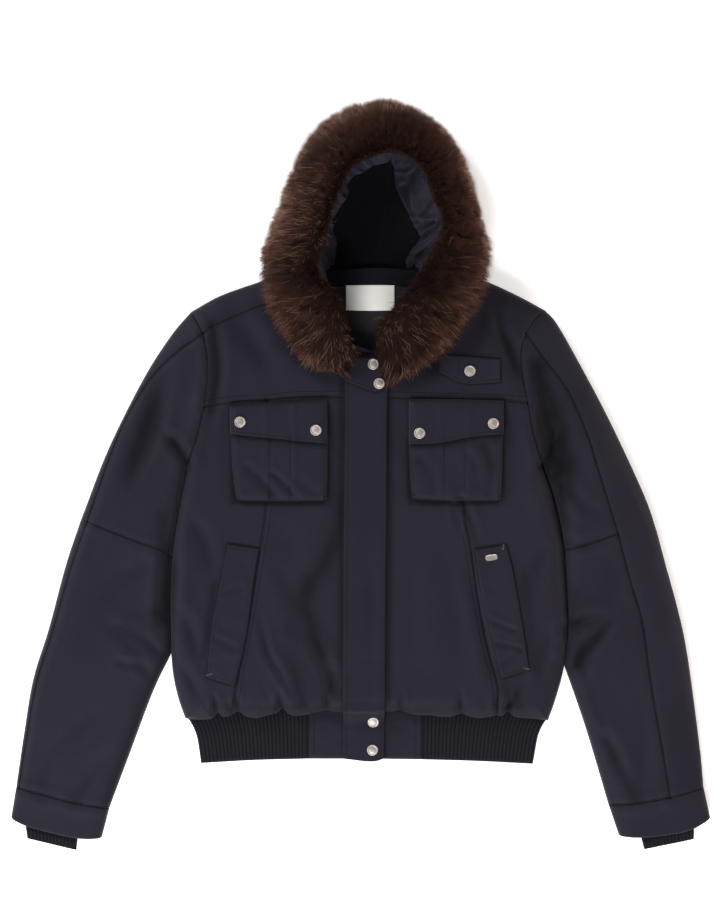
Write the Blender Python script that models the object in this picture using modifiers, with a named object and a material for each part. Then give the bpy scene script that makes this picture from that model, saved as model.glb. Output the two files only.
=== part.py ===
"""A padded bomber jacket with a fur-edged hood, laid flat on its back.

Run it with: blender --background --python part.py

Tables are in millimetres. x runs across the jacket from its centre front, and y from the hem line to
the hood. z is the height above the surface that the jacket lies on. At the end the whole jacket is
moved so that the middle of its outline is over the world's origin. "right" and "left" are the wearer's.

Two padded layers lie on each other: the back layer under a flat interface, the front layer on it. Every
seam is one named curve, sampled once and used by the pieces on both sides of it, so they match there.
"""

import bmesh
import bpy
import numpy as np
from mathutils import Vector
from mathutils.bvhtree import BVHTree

MM = 0.001
GAP = 0.3  # between neighbouring pieces
FLAT_TOLERANCE = 0.1  # extra room where one faceted surface lies on another
CELL_SAMPLES = np.linspace(0, 1, 21)  # places in a cell where that room is tested
LIFT_ROUNDS = 6  # times that a piece's points are raised until it is
NOTHING = -1000.0  # the height where no piece lies below a place

# Heights of the padded layers
FULL_HEIGHT = 38.0  # the two layers together, away from the edges
EDGE_HEIGHT = 18.0  # top of the front layer at the outline
INTERFACE = 14.0  # top of the back layer
EDGE_LIFT = 7.0  # underside of the back layer at the outline
EDGE_ROUNDING = 58.0  # how far in from the outline the top is full
FLOOR_ROUNDING = 16.0  # how far in the underside meets the floor
CUFF_TAPER = 0.55  # share of the rise that is lost towards the cuffs
TAPER_START, TAPER_END = 142.0, -80.0  # y of the armpit gap and of the cuff edge

# Seams: name, then the points (x, y) that a smooth curve runs through.
RIGHT_SEAMS = {
    "shoulder_edge": [(-244, 606), (-204, 628), (-147, 648), (-112, 658), (-80, 662)],
    "shoulder_seam": [(-226, 576), (-213, 586), (-163, 608), (-110, 627), (-74, 638)],
    "neck_strap": [(-74, 638), (-80, 662)],
    "neck_front": [(-74, 638), (-62, 605), (-34, 568), (0, 552)],
    "armhole_cap": [(-226, 576), (-234, 590), (-244, 606)],
    "armhole_yoke": [(-225, 477), (-221, 515), (-221, 545), (-226, 576)],
    "armhole_chest": [(-250, 391), (-238, 425), (-231, 450), (-225, 477)],
    "slit_upper": [(-270, 274), (-265, 311), (-258, 352), (-250, 391)],
    "slit_lower": [(-271, 142), (-272, 220), (-270, 274)],
    "side": [(-252, 55), (-261, 81), (-268, 112), (-271, 142)],
    "hem_side": [(-252, 55), (-225, 53), (-188, 58)],
    "hem_front": [(-188, 58), (-143, 58), (-84, 61)],
    "hem_middle": [(-84, 61), (-35, 63), (0, 63)],
    "princess": [(-188, 58), (-178, 125), (-165, 196), (-153, 270), (-142, 344), (-140, 485)],
    "chest_side": [(-225, 477), (-180, 483), (-140, 485)],
    "chest_centre": [(-140, 485), (-96, 489), (0, 490)],
    "centre": [(0, 63), (0, 490)],
    "centre_upper": [(0, 490), (0, 552)],
    "sleeve_edge_upper": [(-394, 322), (-356, 420), (-308, 516), (-271, 574), (-244, 606)],
    "sleeve_edge_lower": [(-481, -38), (-471, 31), (-458, 108), (-437, 176), (-414, 262), (-394, 322)],
    "sleeve_top_upper": [(-383, 322), (-344, 431), (-315, 489), (-289, 525), (-260, 552), (-226, 576)],
    "sleeve_top_lower": [(-476, -39), (-465, 31), (-451, 105), (-430, 172), (-406, 255), (-383, 322)],
    "elbow": [(-383, 322), (-352, 309), (-318, 296), (-285, 284), (-270, 274)],
    "under_edge": [(-355, -67), (-328, 5), (-296, 90), (-271, 142)],
    "cuff_end": [(-481, -38), (-476, -39)],
    "cuff_seam": [(-476, -39), (-442, -48), (-398, -59), (-355, -67)],
    "cuff_hem": [(-488, -79), (-464, -89), (-430, -98), (-396, -105), (-365, -106)],
    "cuff_outer": [(-488, -79), (-481, -38)],
    "cuff_inner": [(-365, -106), (-355, -67)],
}
LEFT_SEAMS = {
    "shoulder_edge": [(236, 608), (201, 627), (157, 647), (116, 658), (82, 662)],
    "shoulder_seam": [(209, 576), (190, 590), (155, 607), (110, 627), (76, 638)],
    "neck_strap": [(76, 638), (82, 662)],
    "neck_front": [(76, 638), (63, 605), (34, 568), (0, 552)],
    "armhole_cap": [(209, 576), (220, 594), (236, 608)],
    "armhole_yoke": [(211, 482), (204, 525), (203, 555), (209, 576)],
    "armhole_chest": [(232, 398), (224, 420), (217, 446), (211, 482)],
    "slit_upper": [(262, 283), (255, 324), (244, 366), (232, 398)],
    "slit_lower": [(262, 126), (267, 175), (266, 216), (262, 283)],
    "side": [(240, 52), (248, 74), (257, 104), (262, 126)],
    "hem_side": [(240, 52), (215, 55), (173, 60)],
    "hem_front": [(173, 60), (121, 58), (69, 59)],
    "hem_middle": [(69, 59), (23, 63), (0, 63)],
    "princess": [(173, 60), (171, 100), (158, 150), (145, 216), (134, 290), (125, 344), (124, 486)],
    "chest_side": [(211, 482), (174, 485), (124, 486)],
    "chest_centre": [(124, 486), (93, 487), (0, 490)],
    "centre": [(0, 63), (0, 490)],
    "centre_upper": [(0, 490), (0, 552)],
    "sleeve_edge_upper": [(388, 308), (370, 359), (321, 464), (273, 554), (250, 593), (236, 608)],
    "sleeve_edge_lower": [(451, -38), (446, 16), (430, 136), (418, 196), (398, 270), (388, 308)],
    "sleeve_top_upper": [(333, 306), (305, 397), (293, 436), (266, 498), (232, 544), (209, 576)],
    "sleeve_top_lower": [(404, -51), (398, -12), (377, 108), (366, 186), (348, 248), (333, 306)],
    "elbow": [(333, 306), (309, 297), (285, 289), (262, 283)],
    "under_edge": [(322, -62), (296, 26), (278, 81), (262, 126)],
    "cuff_end": [(451, -38), (428, -45), (404, -51)],
    "cuff_seam": [(404, -51), (360, -59), (322, -62)],
    "cuff_hem": [(460, -79), (433, -93), (404, -100), (366, -104), (336, -103)],
    "cuff_outer": [(460, -79), (451, -38)],
    "cuff_inner": [(336, -103), (322, -62)],
}
# Cells along each seam, and how its stations are spaced: "start", "end" or "both" crowd them there.
SEAM_CELLS = {
    "shoulder_edge": (6, "even"),
    "shoulder_seam": (6, "even"),
    "neck_strap": (3, "end"),
    "neck_front": (3, "even"),
    "armhole_cap": (3, "end"),
    "armhole_yoke": (5, "both"),
    "armhole_chest": (3, "even"),
    "slit_upper": (3, "even"),
    "slit_lower": (3, "even"),
    "side": (3, "start"),
    "hem_side": (4, "start"),
    "hem_front": (3, "even"),
    "hem_middle": (2, "even"),
    "chest_side": (4, "start"),
    "chest_centre": (5, "even"),
    "centre_upper": (5, "even"),
    "sleeve_edge_upper": (6, "even"),
    "sleeve_edge_lower": (7, "even"),
    "sleeve_top_upper": (6, "even"),
    "sleeve_top_lower": (7, "even"),
    "elbow": (5, "both"),
    "under_edge": (4, "even"),
    "cuff_end": (3, "start"),
    "cuff_seam": (5, "both"),
    "cuff_hem": (8, "both"),
    "cuff_outer": (3, "even"),
    "cuff_inner": (3, "even"),
}
# These take their stations from the side of the body, so that rows run straight across the front.
LIKE_THE_SIDE = ("princess", "centre")
SIDE_PATH = ("side", "slit_lower", "slit_upper", "armhole_chest")
FREE_EDGES = (
    "shoulder_edge", "slit_upper", "slit_lower", "side", "hem_side", "hem_front", "hem_middle",
    "sleeve_edge_upper", "sleeve_edge_lower", "under_edge", "cuff_outer", "cuff_inner",
)  # fmt: skip
BACK_NECK = [(-74, 638), (-62, 654), (-30, 660), (5, 661), (40, 660), (65, 654), (76, 638)]

# Pieces that lie on the panels, by side: corners (x, y) of the lower, upper, left and right edges
PLACKET_LEFT = [(-38, 0), (-37, 250), (-35, 500), (-35, 544)]
PLACKET_RIGHT = [(18, 0), (20, 250), (22, 500), (22, 544)]
PLACKET_FOOT = [(-38, 0), (0, -4), (18, 0)]
PLACKET_THICK = 4.0
THROAT_TAB = {
    "bottom": [(-35, 512), (-15, 504), (5, 497), (22, 503)],
    "top": [(-26, 546), (0, 548), (22, 545)],
    "left": [(-35, 512), (-26, 546)],
    "right": [(22, 503), (22, 545)],
}
POCKETS = {
    "right": {
        "bottom": [(-180, 350), (-120, 350), (-60, 350)],
        "top": [(-190, 478), (-120, 482), (-59, 486)],
        "left": [(-180, 350), (-187, 400), (-190, 478)],
        "right": [(-60, 350), (-58, 400), (-59, 486)],
        "flap_bottom": [(-190, 440), (-120, 435), (-58, 427)],
    },
    "left": {
        "bottom": [(56, 352), (110, 350), (174, 350)],
        "top": [(51, 486), (110, 486), (179, 484)],
        "left": [(56, 352), (52, 400), (51, 486)],
        "right": [(174, 350), (177, 400), (179, 484)],
        "flap_bottom": [(51, 426), (110, 431), (179, 440)],
    },
}
POCKET_THICK, POCKET_EDGE, FLAP_THICK = 11.0, 14.0, 3.0
WELTS = {
    "right": {
        "bottom": [(-221, 112), (-184, 101)],
        "top": [(-193, 292), (-151, 286)],
        "left": [(-221, 112), (-215, 176), (-203, 240), (-193, 292)],
        "right": [(-184, 101), (-168, 170), (-157, 250), (-151, 286)],
    },
    "left": {
        "bottom": [(176, 111), (213, 122)],
        "top": [(140, 285), (182, 291)],
        "left": [(176, 111), (160, 180), (148, 232), (140, 285)],
        "right": [(213, 122), (205, 176), (192, 250), (182, 291)],
    },
}
WELT_THICK = 3.5
YOKE_TAB = {
    "bottom": [(97, 524), (126, 508), (174, 510)],
    "top": [(98, 547), (126, 545), (174, 541)],
    "left": [(97, 524), (98, 547)],
    "right": [(174, 510), (174, 541)],
}
NECK_FACING = {
    "bottom": [(-66, 642), (5, 645), (66, 642)],
    "top": [(-56, 655), (5, 658), (56, 655)],
    "left": [(-66, 642), (-56, 655)],
    "right": [(66, 642), (56, 655)],
}
LABEL = {
    "bottom": [(-34, 608), (32, 608)],
    "top": [(-34, 642), (32, 642)],
    "left": [(-34, 608), (-34, 642)],
    "right": [(32, 608), (32, 642)],
}
SNAP_RADIUS = 7.5
SNAP_PROFILE = [(0.0, 2.4), (5.4, 2.2), (7.5, 1.2), (7.0, 0.0), (0.0, 0.0)]  # radius, height
SNAPS = {  # name: x, y, the piece under it
    "snap_throat_upper": (3, 534, "throat_tab"),
    "snap_throat_lower": (11, 508, "throat_tab"),
    "snap_hem_upper": (3, 50, "placket"),
    "snap_hem_lower": (2, 12, "placket"),
    "snap_pocket_right_outer": (-176, 456, "chest_flap_right"),
    "snap_pocket_right_inner": (-74, 445, "chest_flap_right"),
    "snap_pocket_left_inner": (65, 441, "chest_flap_left"),
    "snap_pocket_left_outer": (164, 454, "chest_flap_left"),
    "snap_yoke_tab": (133, 525, "yoke_tab"),
}
POCKET_BAR = (162, 274, 16, 8, 1.6)  # x, y, length, width, thickness

# Hem and cuffs
RIB_HEIGHT, RIB_LAYER, RIB_EDGE = 12.0, 5.6, 8.0
RIB_SIDES = {  # from the lower corner up to the hem seam
    "right": [(-228, -4), (-237, 30), (-246, 50), (-252, 55)],
    "left": [(217, -5), (227, 30), (236, 49), (240, 52)],
}
RIB_FEET = {  # the lower edge, from the side to the insert's seam, and on to the centre
    "right": ([(-228, -4), (-160, 0), (-85, 2)], [(-85, 2), (0, 2)]),
    "left": ([(217, -5), (140, -1), (69, 1)], [(69, 1), (0, 2)]),
}
CUFF_WALL = 6.5
RIB_CUFFS = {  # (x, y) of each corner: inside the band, then at the free edge
    "right": {"inner": ((-467, -62), (-399, -80)), "outer": ((-465, -104), (-401, -119))},
    "left": {"inner": ((362, -80), (433, -66)), "outer": ((371, -118), (437, -104))},
}
RIB_CUFF_HEIGHT, RIB_CUFF_WALL, RIB_CUFF_DROP = 9.0, 4.0, 4.5
RIB_CUFF_OUT = 0.76  # share of its length that is inside the band

# Hood ribs: rim x, y, z, then the lower end x, y, z on the neck seam or the centre seam, then how far
# out the wall is drawn near the rim and near the floor. The hood lies open like a bowl.
RIGHT_HOOD_RIBS = [
    (-20, 562, 52, -18, 563, 41, 0, 0),
    (-38, 584, 54, -35, 586, 41, 0, 0),
    (-60, 618, 55, -55, 618, 41, 0, 0),
    (-72, 650, 56, -66, 647, 24, 0, 0),
    (-80, 670, 56, -70, 657, 16, 3, -14),
    (-84, 692, 56, -56, 659, 4, 5, -30),
    (-83, 725, 56, -26, 661, 1, 6, -36),
    (-77, 757, 56, 5, 662, 1, 6, -38),
    (-68, 786, 56, 16, 730, 1, 6, -36),
    (-54, 812, 56, 22, 775, 1, 5, -32),
    (-30, 834, 55, 26, 800, 5, 4, -22),
    (0, 845, 54, 27, 822, 18, 3, -10),
    (27, 848, 54, 28, 838, 36, 1, -2),
]
LEFT_HOOD_RIBS = [
    (20, 562, 52, 18, 563, 41, 0, 0),
    (38, 582, 54, 35, 586, 41, 0, 0),
    (60, 614, 55, 56, 618, 41, 0, 0),
    (75, 646, 56, 68, 645, 24, 0, 0),
    (89, 667, 56, 72, 657, 16, 3, -16),
    (101, 690, 56, 60, 659, 4, 5, -34),
    (107, 722, 56, 34, 661, 1, 6, -42),
    (104, 755, 56, 6, 662, 1, 6, -44),
    (96, 784, 56, 18, 730, 1, 6, -42),
    (84, 812, 56, 24, 775, 1, 5, -36),
    (66, 834, 55, 28, 800, 5, 4, -24),
    (46, 846, 54, 29, 822, 18, 3, -10),
    (31, 848, 54, 30, 838, 36, 1, -2),
]
HOOD_MIDDLE = (15, 700)  # "outwards" is away from here
HOOD_FLOOR_RIB, HOOD_NECK_RIBS = 5, 7  # the first rib that ends on the floor; those before the centre seam
HOOD_SEAM = [(5, 660), (8, 675), (17, 730), (23, 775), (27, 800), (28, 822), (29, 838), (29, 900)]
RIB_STATIONS = [0.0, 0.12, 0.26, 0.4, 0.55, 0.7, 0.85, 1.0]  # along a rib, from the rim
FACING_COLUMNS = 5  # the facing covers the stations up to this one, and the lining the rest
HOOD_WALL, LINING_WALL = 6.0, 1.6
RIM_DROP = 12.0  # how much lower than the rim its first control point is

# Fur: inner x, y, outer x, y, height of the top, of the inner edge, and of the outer edge
FUR_SECTIONS = [
    (-24, 549, -38, 521, 66, 62, 48),
    (-30, 572, -82, 532, 84, 63, 45),
    (-38, 604, -122, 574, 92, 64, 45),
    (-52, 632, -143, 618, 94, 64, 45),
    (-70, 662, -148, 676, 94, 64, 42),
    (-62, 705, -141, 707, 94, 64, 34),
    (-50, 742, -124, 755, 94, 64, 30),
    (-36, 780, -108, 798, 94, 64, 28),
    (-22, 806, -80, 850, 94, 64, 26),
    (2, 818, -30, 884, 94, 64, 25),
    (28, 823, 32, 892, 94, 64, 25),
    (52, 815, 88, 864, 94, 64, 26),
    (72, 794, 122, 822, 94, 64, 28),
    (84, 760, 142, 768, 94, 64, 30),
    (94, 724, 152, 722, 94, 64, 34),
    (78, 684, 162, 682, 94, 64, 42),
    (56, 645, 152, 624, 94, 64, 45),
    (30, 612, 126, 572, 92, 64, 45),
    (10, 585, 84, 541, 84, 63, 46),
    (12, 556, 26, 508, 66, 62, 50),
]
# Fur section: share of the way from the inner to the outer edge, and height as a share of the crown
# above the line between the two edges; the first five points are the underside.
FUR_PROFILE = [
    (0.0, 0.0), (0.35, 0.0), (0.6, 0.0), (1.0, 0.0),
    (0.98, 0.5), (0.78, 0.9), (0.5, 1.0), (0.22, 0.9), (0.02, 0.5),
]  # fmt: skip
FUR_BELLY = [0.0, 8.0, 11.0, 0.0]  # how far the underside stands above that line, over the rim

# Colours (linear), roughness and metallic of the materials
NAVY = ((0.022, 0.021, 0.032), 0.55, 0.0)
RIB_NAVY = ((0.009, 0.010, 0.022), 0.85, 0.0)
LINING_NAVY = ((0.006, 0.007, 0.014), 0.9, 0.0)
FUR_BROWN = ((0.045, 0.018, 0.012), 0.9, 0.0)
CREAM = ((0.78, 0.74, 0.69), 0.8, 0.0)
STEEL = ((0.60, 0.57, 0.54), 0.3, 1.0)


def smooth_curve(points, fine=16):
    """A dense Catmull-Rom curve through the points: an array of (x, y)."""
    points = np.array(points, float)
    if len(points) == 2:
        return points[0] + np.linspace(0, 1, fine + 1)[:, None] * (points[1] - points[0])
    ends = np.vstack([2 * points[0] - points[1], points, 2 * points[-1] - points[-2]])
    a, b, c, d = ends[:-3, None], ends[1:-2, None], ends[2:-1, None], ends[3:, None]
    t = (np.arange(fine) / fine)[None, :, None]
    pieces = 0.5 * (2 * b + (c - a) * t + (2 * a - 5 * b + 4 * c - d) * t**2 + (3 * b - a - 3 * c + d) * t**3)
    return np.vstack([pieces.reshape(-1, points.shape[1]), points[-1]])


def shares_of_length(curve):
    """The share of its length at which each point of a curve lies."""
    steps = np.linalg.norm(np.diff(curve, axis=0), axis=1)
    return np.concatenate([[0.0], np.cumsum(steps)]) / steps.sum()


def at_shares(curve, shares):
    """The points of a curve at the given shares of its length."""
    places = shares_of_length(curve)
    return np.stack([np.interp(shares, places, curve[:, axis]) for axis in range(curve.shape[1])], axis=1)


def spacing(cells, kind):
    """Stations from 0 to 1, even or crowded at the start, the end or both."""
    even = np.arange(cells + 1) / cells
    return {
        "even": even,
        "start": 1 - np.cos(even * np.pi / 2),
        "end": np.sin(even * np.pi / 2),
        "both": (1 - np.cos(even * np.pi)) / 2,
    }[kind]


def join(*curves):
    """One curve from several that follow each other."""
    return np.vstack([curves[0]] + [curve[1:] for curve in curves[1:]])


def sample_seams(table):
    """Every seam of one side of the jacket, at its stations."""
    seams = {}
    for name, (cells, kind) in SEAM_CELLS.items():
        seams[name] = at_shares(smooth_curve(table[name]), spacing(cells, kind))
    side_shares = shares_of_length(join(*[seams[name] for name in SIDE_PATH]))
    for name in LIKE_THE_SIDE:
        seams[name] = at_shares(smooth_curve(table[name]), side_shares)
    return seams


def inset_ring(ring, distance):
    """A closed outline moved inwards by the distance, each corner along its mitre."""
    following = np.roll(ring, -1, axis=0)
    area = np.sum(ring[:, 0] * following[:, 1] - following[:, 0] * ring[:, 1])
    edges = following - ring
    edges /= np.linalg.norm(edges, axis=1)[:, None]
    inward = np.stack([-edges[:, 1], edges[:, 0]], axis=1) * np.sign(area)
    before = np.roll(inward, 1, axis=0)
    mitre = (inward + before) / np.maximum(1 + np.sum(inward * before, axis=1), 0.3)[:, None]
    return ring + distance * mitre


def patch(bottom, top, left, right, inset=GAP / 2):
    """A grid of points over a four-sided outline (a Coons patch), moved in by half a gap all round.

    Rows run from bottom to top and columns from left to right.
    """
    rows, columns = len(left) - 1, len(bottom) - 1
    ring = np.vstack([bottom[:-1], right[:-1], top[:0:-1], left[:0:-1]])
    ring = inset_ring(ring, inset)
    corners = np.cumsum([0, columns, rows, columns])
    bottom = ring[corners[0] : corners[1] + 1]
    right = ring[corners[1] : corners[2] + 1]
    top = ring[corners[2] : corners[3] + 1][::-1]
    left = np.vstack([ring[corners[3] :], ring[:1]])[::-1]
    u = ((shares_of_length(bottom) + shares_of_length(top)) / 2)[None, :, None]
    v = ((shares_of_length(left) + shares_of_length(right)) / 2)[:, None, None]
    ruled = (1 - v) * bottom[None] + v * top[None] + (1 - u) * left[:, None] + u * right[:, None]
    corner_part = (1 - u) * ((1 - v) * bottom[0] + v * top[0]) + u * ((1 - v) * bottom[-1] + v * top[-1])
    return ruled - corner_part


def small_patch(outline, rows, columns):
    """The patch of a small piece from its four smooth edges."""
    edges = {}
    for name, count in (("bottom", columns), ("top", columns), ("left", rows), ("right", rows)):
        edges[name] = at_shares(smooth_curve(outline[name]), spacing(count, "both"))
    return patch(edges["bottom"], edges["top"], edges["left"], edges["right"], inset=0.0)


def distance_to(curves, places):
    """The distance from each place (x, y) to the nearest of the curves."""
    flat = places.reshape(-1, 2)
    best = np.full(len(flat), np.inf)
    for curve in curves:
        start, step = curve[:-1], np.diff(curve, axis=0)
        along = np.einsum("psk,sk->ps", flat[:, None] - start, step) / np.sum(step**2, axis=1)
        nearest = start + np.clip(along, 0, 1)[..., None] * step
        best = np.minimum(best, np.linalg.norm(flat[:, None] - nearest, axis=2).min(axis=1))
    return best.reshape(places.shape[:-1])


def pillow(share):
    """A quarter ellipse: 0 at the edge, where it rises steeply, and 1 from a share of 1 on."""
    return np.sqrt(1 - (1 - np.clip(share, 0, 1)) ** 2)


def top_height(places):
    """Top of the front layer: full inside, rounded down towards the outline, lower at the cuffs."""
    down_sleeve = np.clip((TAPER_START - places[..., 1]) / (TAPER_START - TAPER_END), 0, 1)
    rise = (FULL_HEIGHT - EDGE_HEIGHT) * (1 - CUFF_TAPER * down_sleeve)
    return EDGE_HEIGHT + rise * pillow(distance_to(OUTLINE, places) / EDGE_ROUNDING)


def floor_height(places):
    """Underside of the back layer: on the floor, and lifted close to the outline."""
    return EDGE_LIFT * (1 - pillow(distance_to(OUTLINE, places) / FLOOR_ROUNDING))


def raised(places, heights):
    """Places (x, y) with their heights: (x, y, z)."""
    heights = np.broadcast_to(heights, places.shape[:-1])
    return np.concatenate([places, heights[..., None]], axis=-1)


def material(name, finish):
    """A Principled material of one colour, roughness and metallic value."""
    made = bpy.data.materials.new(name)
    made.use_nodes = True
    shader = made.node_tree.nodes["Principled BSDF"]
    shader.inputs["Base Color"].default_value = (*finish[0], 1.0)
    shader.inputs["Roughness"].default_value = finish[1]
    shader.inputs["Metallic"].default_value = finish[2]
    return made


def add_object(name, mesh, finish):
    """The named object of a piece, in the jacket's collection, with its own material."""
    piece = bpy.data.objects.new(name, mesh)
    mesh.materials.append(material(name + "_finish", finish))
    COLLECTION.objects.link(piece)
    PIECES[name] = piece
    return piece


def grid_solid(name, lower, upper, finish):
    """A closed padded piece between two grids of points with the same rows and columns."""
    rows, columns = lower.shape[0] - 1, lower.shape[1] - 1
    sheet = bmesh.new()
    bmesh.ops.create_grid(sheet, x_segments=columns, y_segments=rows, size=0.5)
    raised_part = bmesh.ops.extrude_face_region(sheet, geom=sheet.faces[:])["geom"]
    top = {item for item in raised_part if isinstance(item, bmesh.types.BMVert)}
    for vertex in sheet.verts:
        row, column = round((vertex.co.y + 0.5) * rows), round((vertex.co.x + 0.5) * columns)
        source = upper if vertex in top else lower
        vertex.co = Vector(source[row, column]) * MM
    sheet.normal_update()
    bmesh.ops.recalc_face_normals(sheet, faces=sheet.faces[:])
    mesh = bpy.data.meshes.new(name)
    sheet.to_mesh(mesh)
    sheet.free()
    return add_object(name, mesh, finish)


def loft_solid(name, outer, finish, inner=None):
    """A closed body through sections of equal length: (section, point, 3).

    With inner sections it is a tube, open from end to end. Without them both ends are capped.
    """
    sections, around = outer.shape[:2]
    body = bmesh.new()
    rings = [[body.verts.new(Vector(point) * MM) for point in section] for section in outer]
    holes = []
    if inner is not None:
        holes = [[body.verts.new(Vector(point) * MM) for point in section] for section in inner]
    for skin in filter(None, (rings, holes)):
        for here, there in zip(skin, skin[1:]):
            for point in range(around):
                after = (point + 1) % around
                body.faces.new((here[point], here[after], there[after], there[point]))
    for end in (0, sections - 1):
        if not holes:
            body.faces.new(rings[end])
            continue
        for point in range(around):
            after = (point + 1) % around
            body.faces.new((rings[end][point], rings[end][after], holes[end][after], holes[end][point]))
    body.normal_update()
    bmesh.ops.recalc_face_normals(body, faces=body.faces[:])
    mesh = bpy.data.meshes.new(name)
    body.to_mesh(mesh)
    body.free()
    return add_object(name, mesh, finish)


def surface_under(names):
    """A search tree of the named pieces' faces, which answers what lies under a place."""
    corners, faces = [], []
    for name in names:
        mesh = PIECES[name].data
        mesh.calc_loop_triangles()
        start = len(corners)
        corners += [vertex.co.copy() for vertex in mesh.vertices]
        faces += [[start + index for index in triangle.vertices] for triangle in mesh.loop_triangles]
    return BVHTree.FromPolygons(corners, faces)


def ground_at(tree, places, around=()):
    """The height under each place (x, y), or far below where there is nothing.

    Where a place is over a seam's gap or past an edge, it's the highest found at the first distance
    around it that finds any.
    """
    flat = places.reshape(-1, 2)
    heights = np.full(len(flat), NOTHING)
    turns = np.linspace(0, 2 * np.pi, 8, endpoint=False)
    for index, place in enumerate(flat):
        for distance in (0, *around):
            for turn in turns if distance else turns[:1]:
                x, y = place + distance * np.array([np.cos(turn), np.sin(turn)])
                hit = tree.ray_cast(Vector((x * MM, y * MM, 1.0)), Vector((0, 0, -1)))[0]
                heights[index] = max(heights[index], NOTHING if hit is None else hit.z / MM)
            if heights[index] > NOTHING:
                break
    return heights.reshape(places.shape[:-1])


def resting_heights(places, on):
    """The lowest heights of a grid's points that keep every cell a gap above the pieces it lies on."""
    tree = surface_under(on)
    heights = ground_at(tree, places, around=(1, 8)) + GAP
    u, v = np.meshgrid(CELL_SAMPLES, CELL_SAMPLES)
    none = np.zeros_like(u)
    bilinear = [(1 - u) * (1 - v), u * (1 - v), (1 - u) * v, u * v]
    # A cell is two flat triangles, split along either diagonal; both splits have to be clear.
    splits = (
        [1 - np.maximum(u, v), np.maximum(u - v, 0), np.maximum(v - u, 0), np.minimum(u, v)],
        [
            np.maximum(1 - u - v, none), np.minimum(u, 1 - v), np.minimum(v, 1 - u),
            np.maximum(u + v - 1, none),
        ],
    )  # fmt: skip
    corners = [places[:-1, :-1], places[:-1, 1:], places[1:, :-1], places[1:, 1:]]
    samples = sum(corner[:, :, None, None] * weight[..., None] for corner, weight in zip(corners, bilinear))
    needed = ground_at(tree, samples) + GAP + FLAT_TOLERANCE
    quarters = [(slice(None, -1), slice(None, -1)), (slice(None, -1), slice(1, None)),
                (slice(1, None), slice(None, -1)), (slice(1, None), slice(1, None))]  # fmt: skip
    for _ in range(LIFT_ROUNDS):
        lift = np.zeros_like(heights)
        for split in splits:
            shares = list(zip(quarters, split))
            there = sum(heights[quarter][:, :, None, None] * weight for quarter, weight in shares)
            short = np.maximum(needed - there, 0) / sum(weight**2 for weight in split)
            for quarter, weight in shares:
                lift[quarter] = np.maximum(lift[quarter], (short * weight).max(axis=(2, 3)))
        heights = heights + lift
    return heights


def laid_piece(name, places, on, thickness, finish, edge=5.0):
    """A flat piece that follows the pieces it lies on, with softened edges."""
    lower = resting_heights(places, on)
    ring = np.vstack([places[0], places[1:, -1], places[-1, -2::-1], places[-2::-1, 0]])
    softened = 0.55 + 0.45 * pillow(distance_to([ring], places) / edge)
    return grid_solid(name, raised(places, lower), raised(places, lower + thickness * softened), finish)


def build_body(side, seams):
    """The front panels and the shoulder yoke of one side."""
    outer_side = join(*[seams[name] for name in SIDE_PATH])
    lower_edge = INTERFACE + GAP
    panels = {
        "front_side": (seams["hem_side"], seams["chest_side"], outer_side, seams["princess"]),
        "front_centre": (
            join(seams["hem_front"], seams["hem_middle"]),
            seams["chest_centre"],
            seams["princess"],
            seams["centre"],
        ),
        "front_yoke": (
            join(seams["chest_side"], seams["chest_centre"]),
            join(seams["shoulder_seam"], seams["neck_front"]),
            seams["armhole_yoke"],
            seams["centre_upper"],
        ),
    }
    for name, edges in panels.items():
        places = patch(*edges)
        grid_solid(f"{name}_{side}", raised(places, lower_edge), raised(places, top_height(places)), NAVY)
    places = patch(seams["shoulder_seam"], seams["shoulder_edge"], seams["armhole_cap"], seams["neck_strap"])
    lower, upper = raised(places, floor_height(places)), raised(places, top_height(places))
    grid_solid(f"shoulder_yoke_{side}", lower, upper, NAVY)


def whole_hem(right, left):
    """The hem seam all the way across, from the right side to the left side."""
    parts = ("hem_side", "hem_front", "hem_middle")
    return join(*[right[name] for name in parts], *[left[name][::-1] for name in parts[::-1]])


def build_back(right, left):
    """The whole back, from the hem to the shoulder seams and the back neck, flat underneath."""
    edges = {}
    for side, seams in (("right", right), ("left", left)):
        edges[side] = join(*[seams[name] for name in SIDE_PATH], seams["armhole_yoke"])
    bottom = whole_hem(right, left)
    neck = at_shares(smooth_curve(BACK_NECK), spacing(6, "even"))
    top = join(right["shoulder_seam"], neck, left["shoulder_seam"][::-1])
    places = patch(bottom, top, edges["right"], edges["left"])
    grid_solid("back", raised(places, floor_height(places)), raised(places, INTERFACE), NAVY)


def build_sleeve(side, seams):
    """Sleeve front above and below the elbow, the piece folded over the outer edge, and the back."""
    armhole_side = join(seams["slit_upper"], seams["armhole_chest"])
    under_side = join(seams["under_edge"], seams["slit_lower"])
    whole_top = join(seams["sleeve_top_lower"], seams["sleeve_top_upper"])
    fronts = {
        "sleeve_upper": (
            seams["elbow"], seams["armhole_yoke"][::-1], seams["sleeve_top_upper"], armhole_side,
        ),
        "sleeve_lower": (
            seams["cuff_seam"], seams["elbow"], seams["sleeve_top_lower"], under_side,
        ),
    }  # fmt: skip
    for name, edges in fronts.items():
        places = patch(*edges)
        bottom = raised(places, INTERFACE + GAP)
        grid_solid(f"{name}_{side}", bottom, raised(places, top_height(places)), NAVY)
    back = patch(seams["cuff_seam"], seams["armhole_yoke"][::-1], whole_top, join(under_side, armhole_side))
    grid_solid(f"sleeve_back_{side}", raised(back, floor_height(back)), raised(back, INTERFACE), NAVY)
    edge = join(seams["sleeve_edge_lower"], seams["sleeve_edge_upper"])
    fold = patch(seams["cuff_end"], seams["armhole_cap"][::-1], edge, whole_top)
    grid_solid(f"sleeve_top_{side}", raised(fold, floor_height(fold)), raised(fold, top_height(fold)), NAVY)


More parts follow.
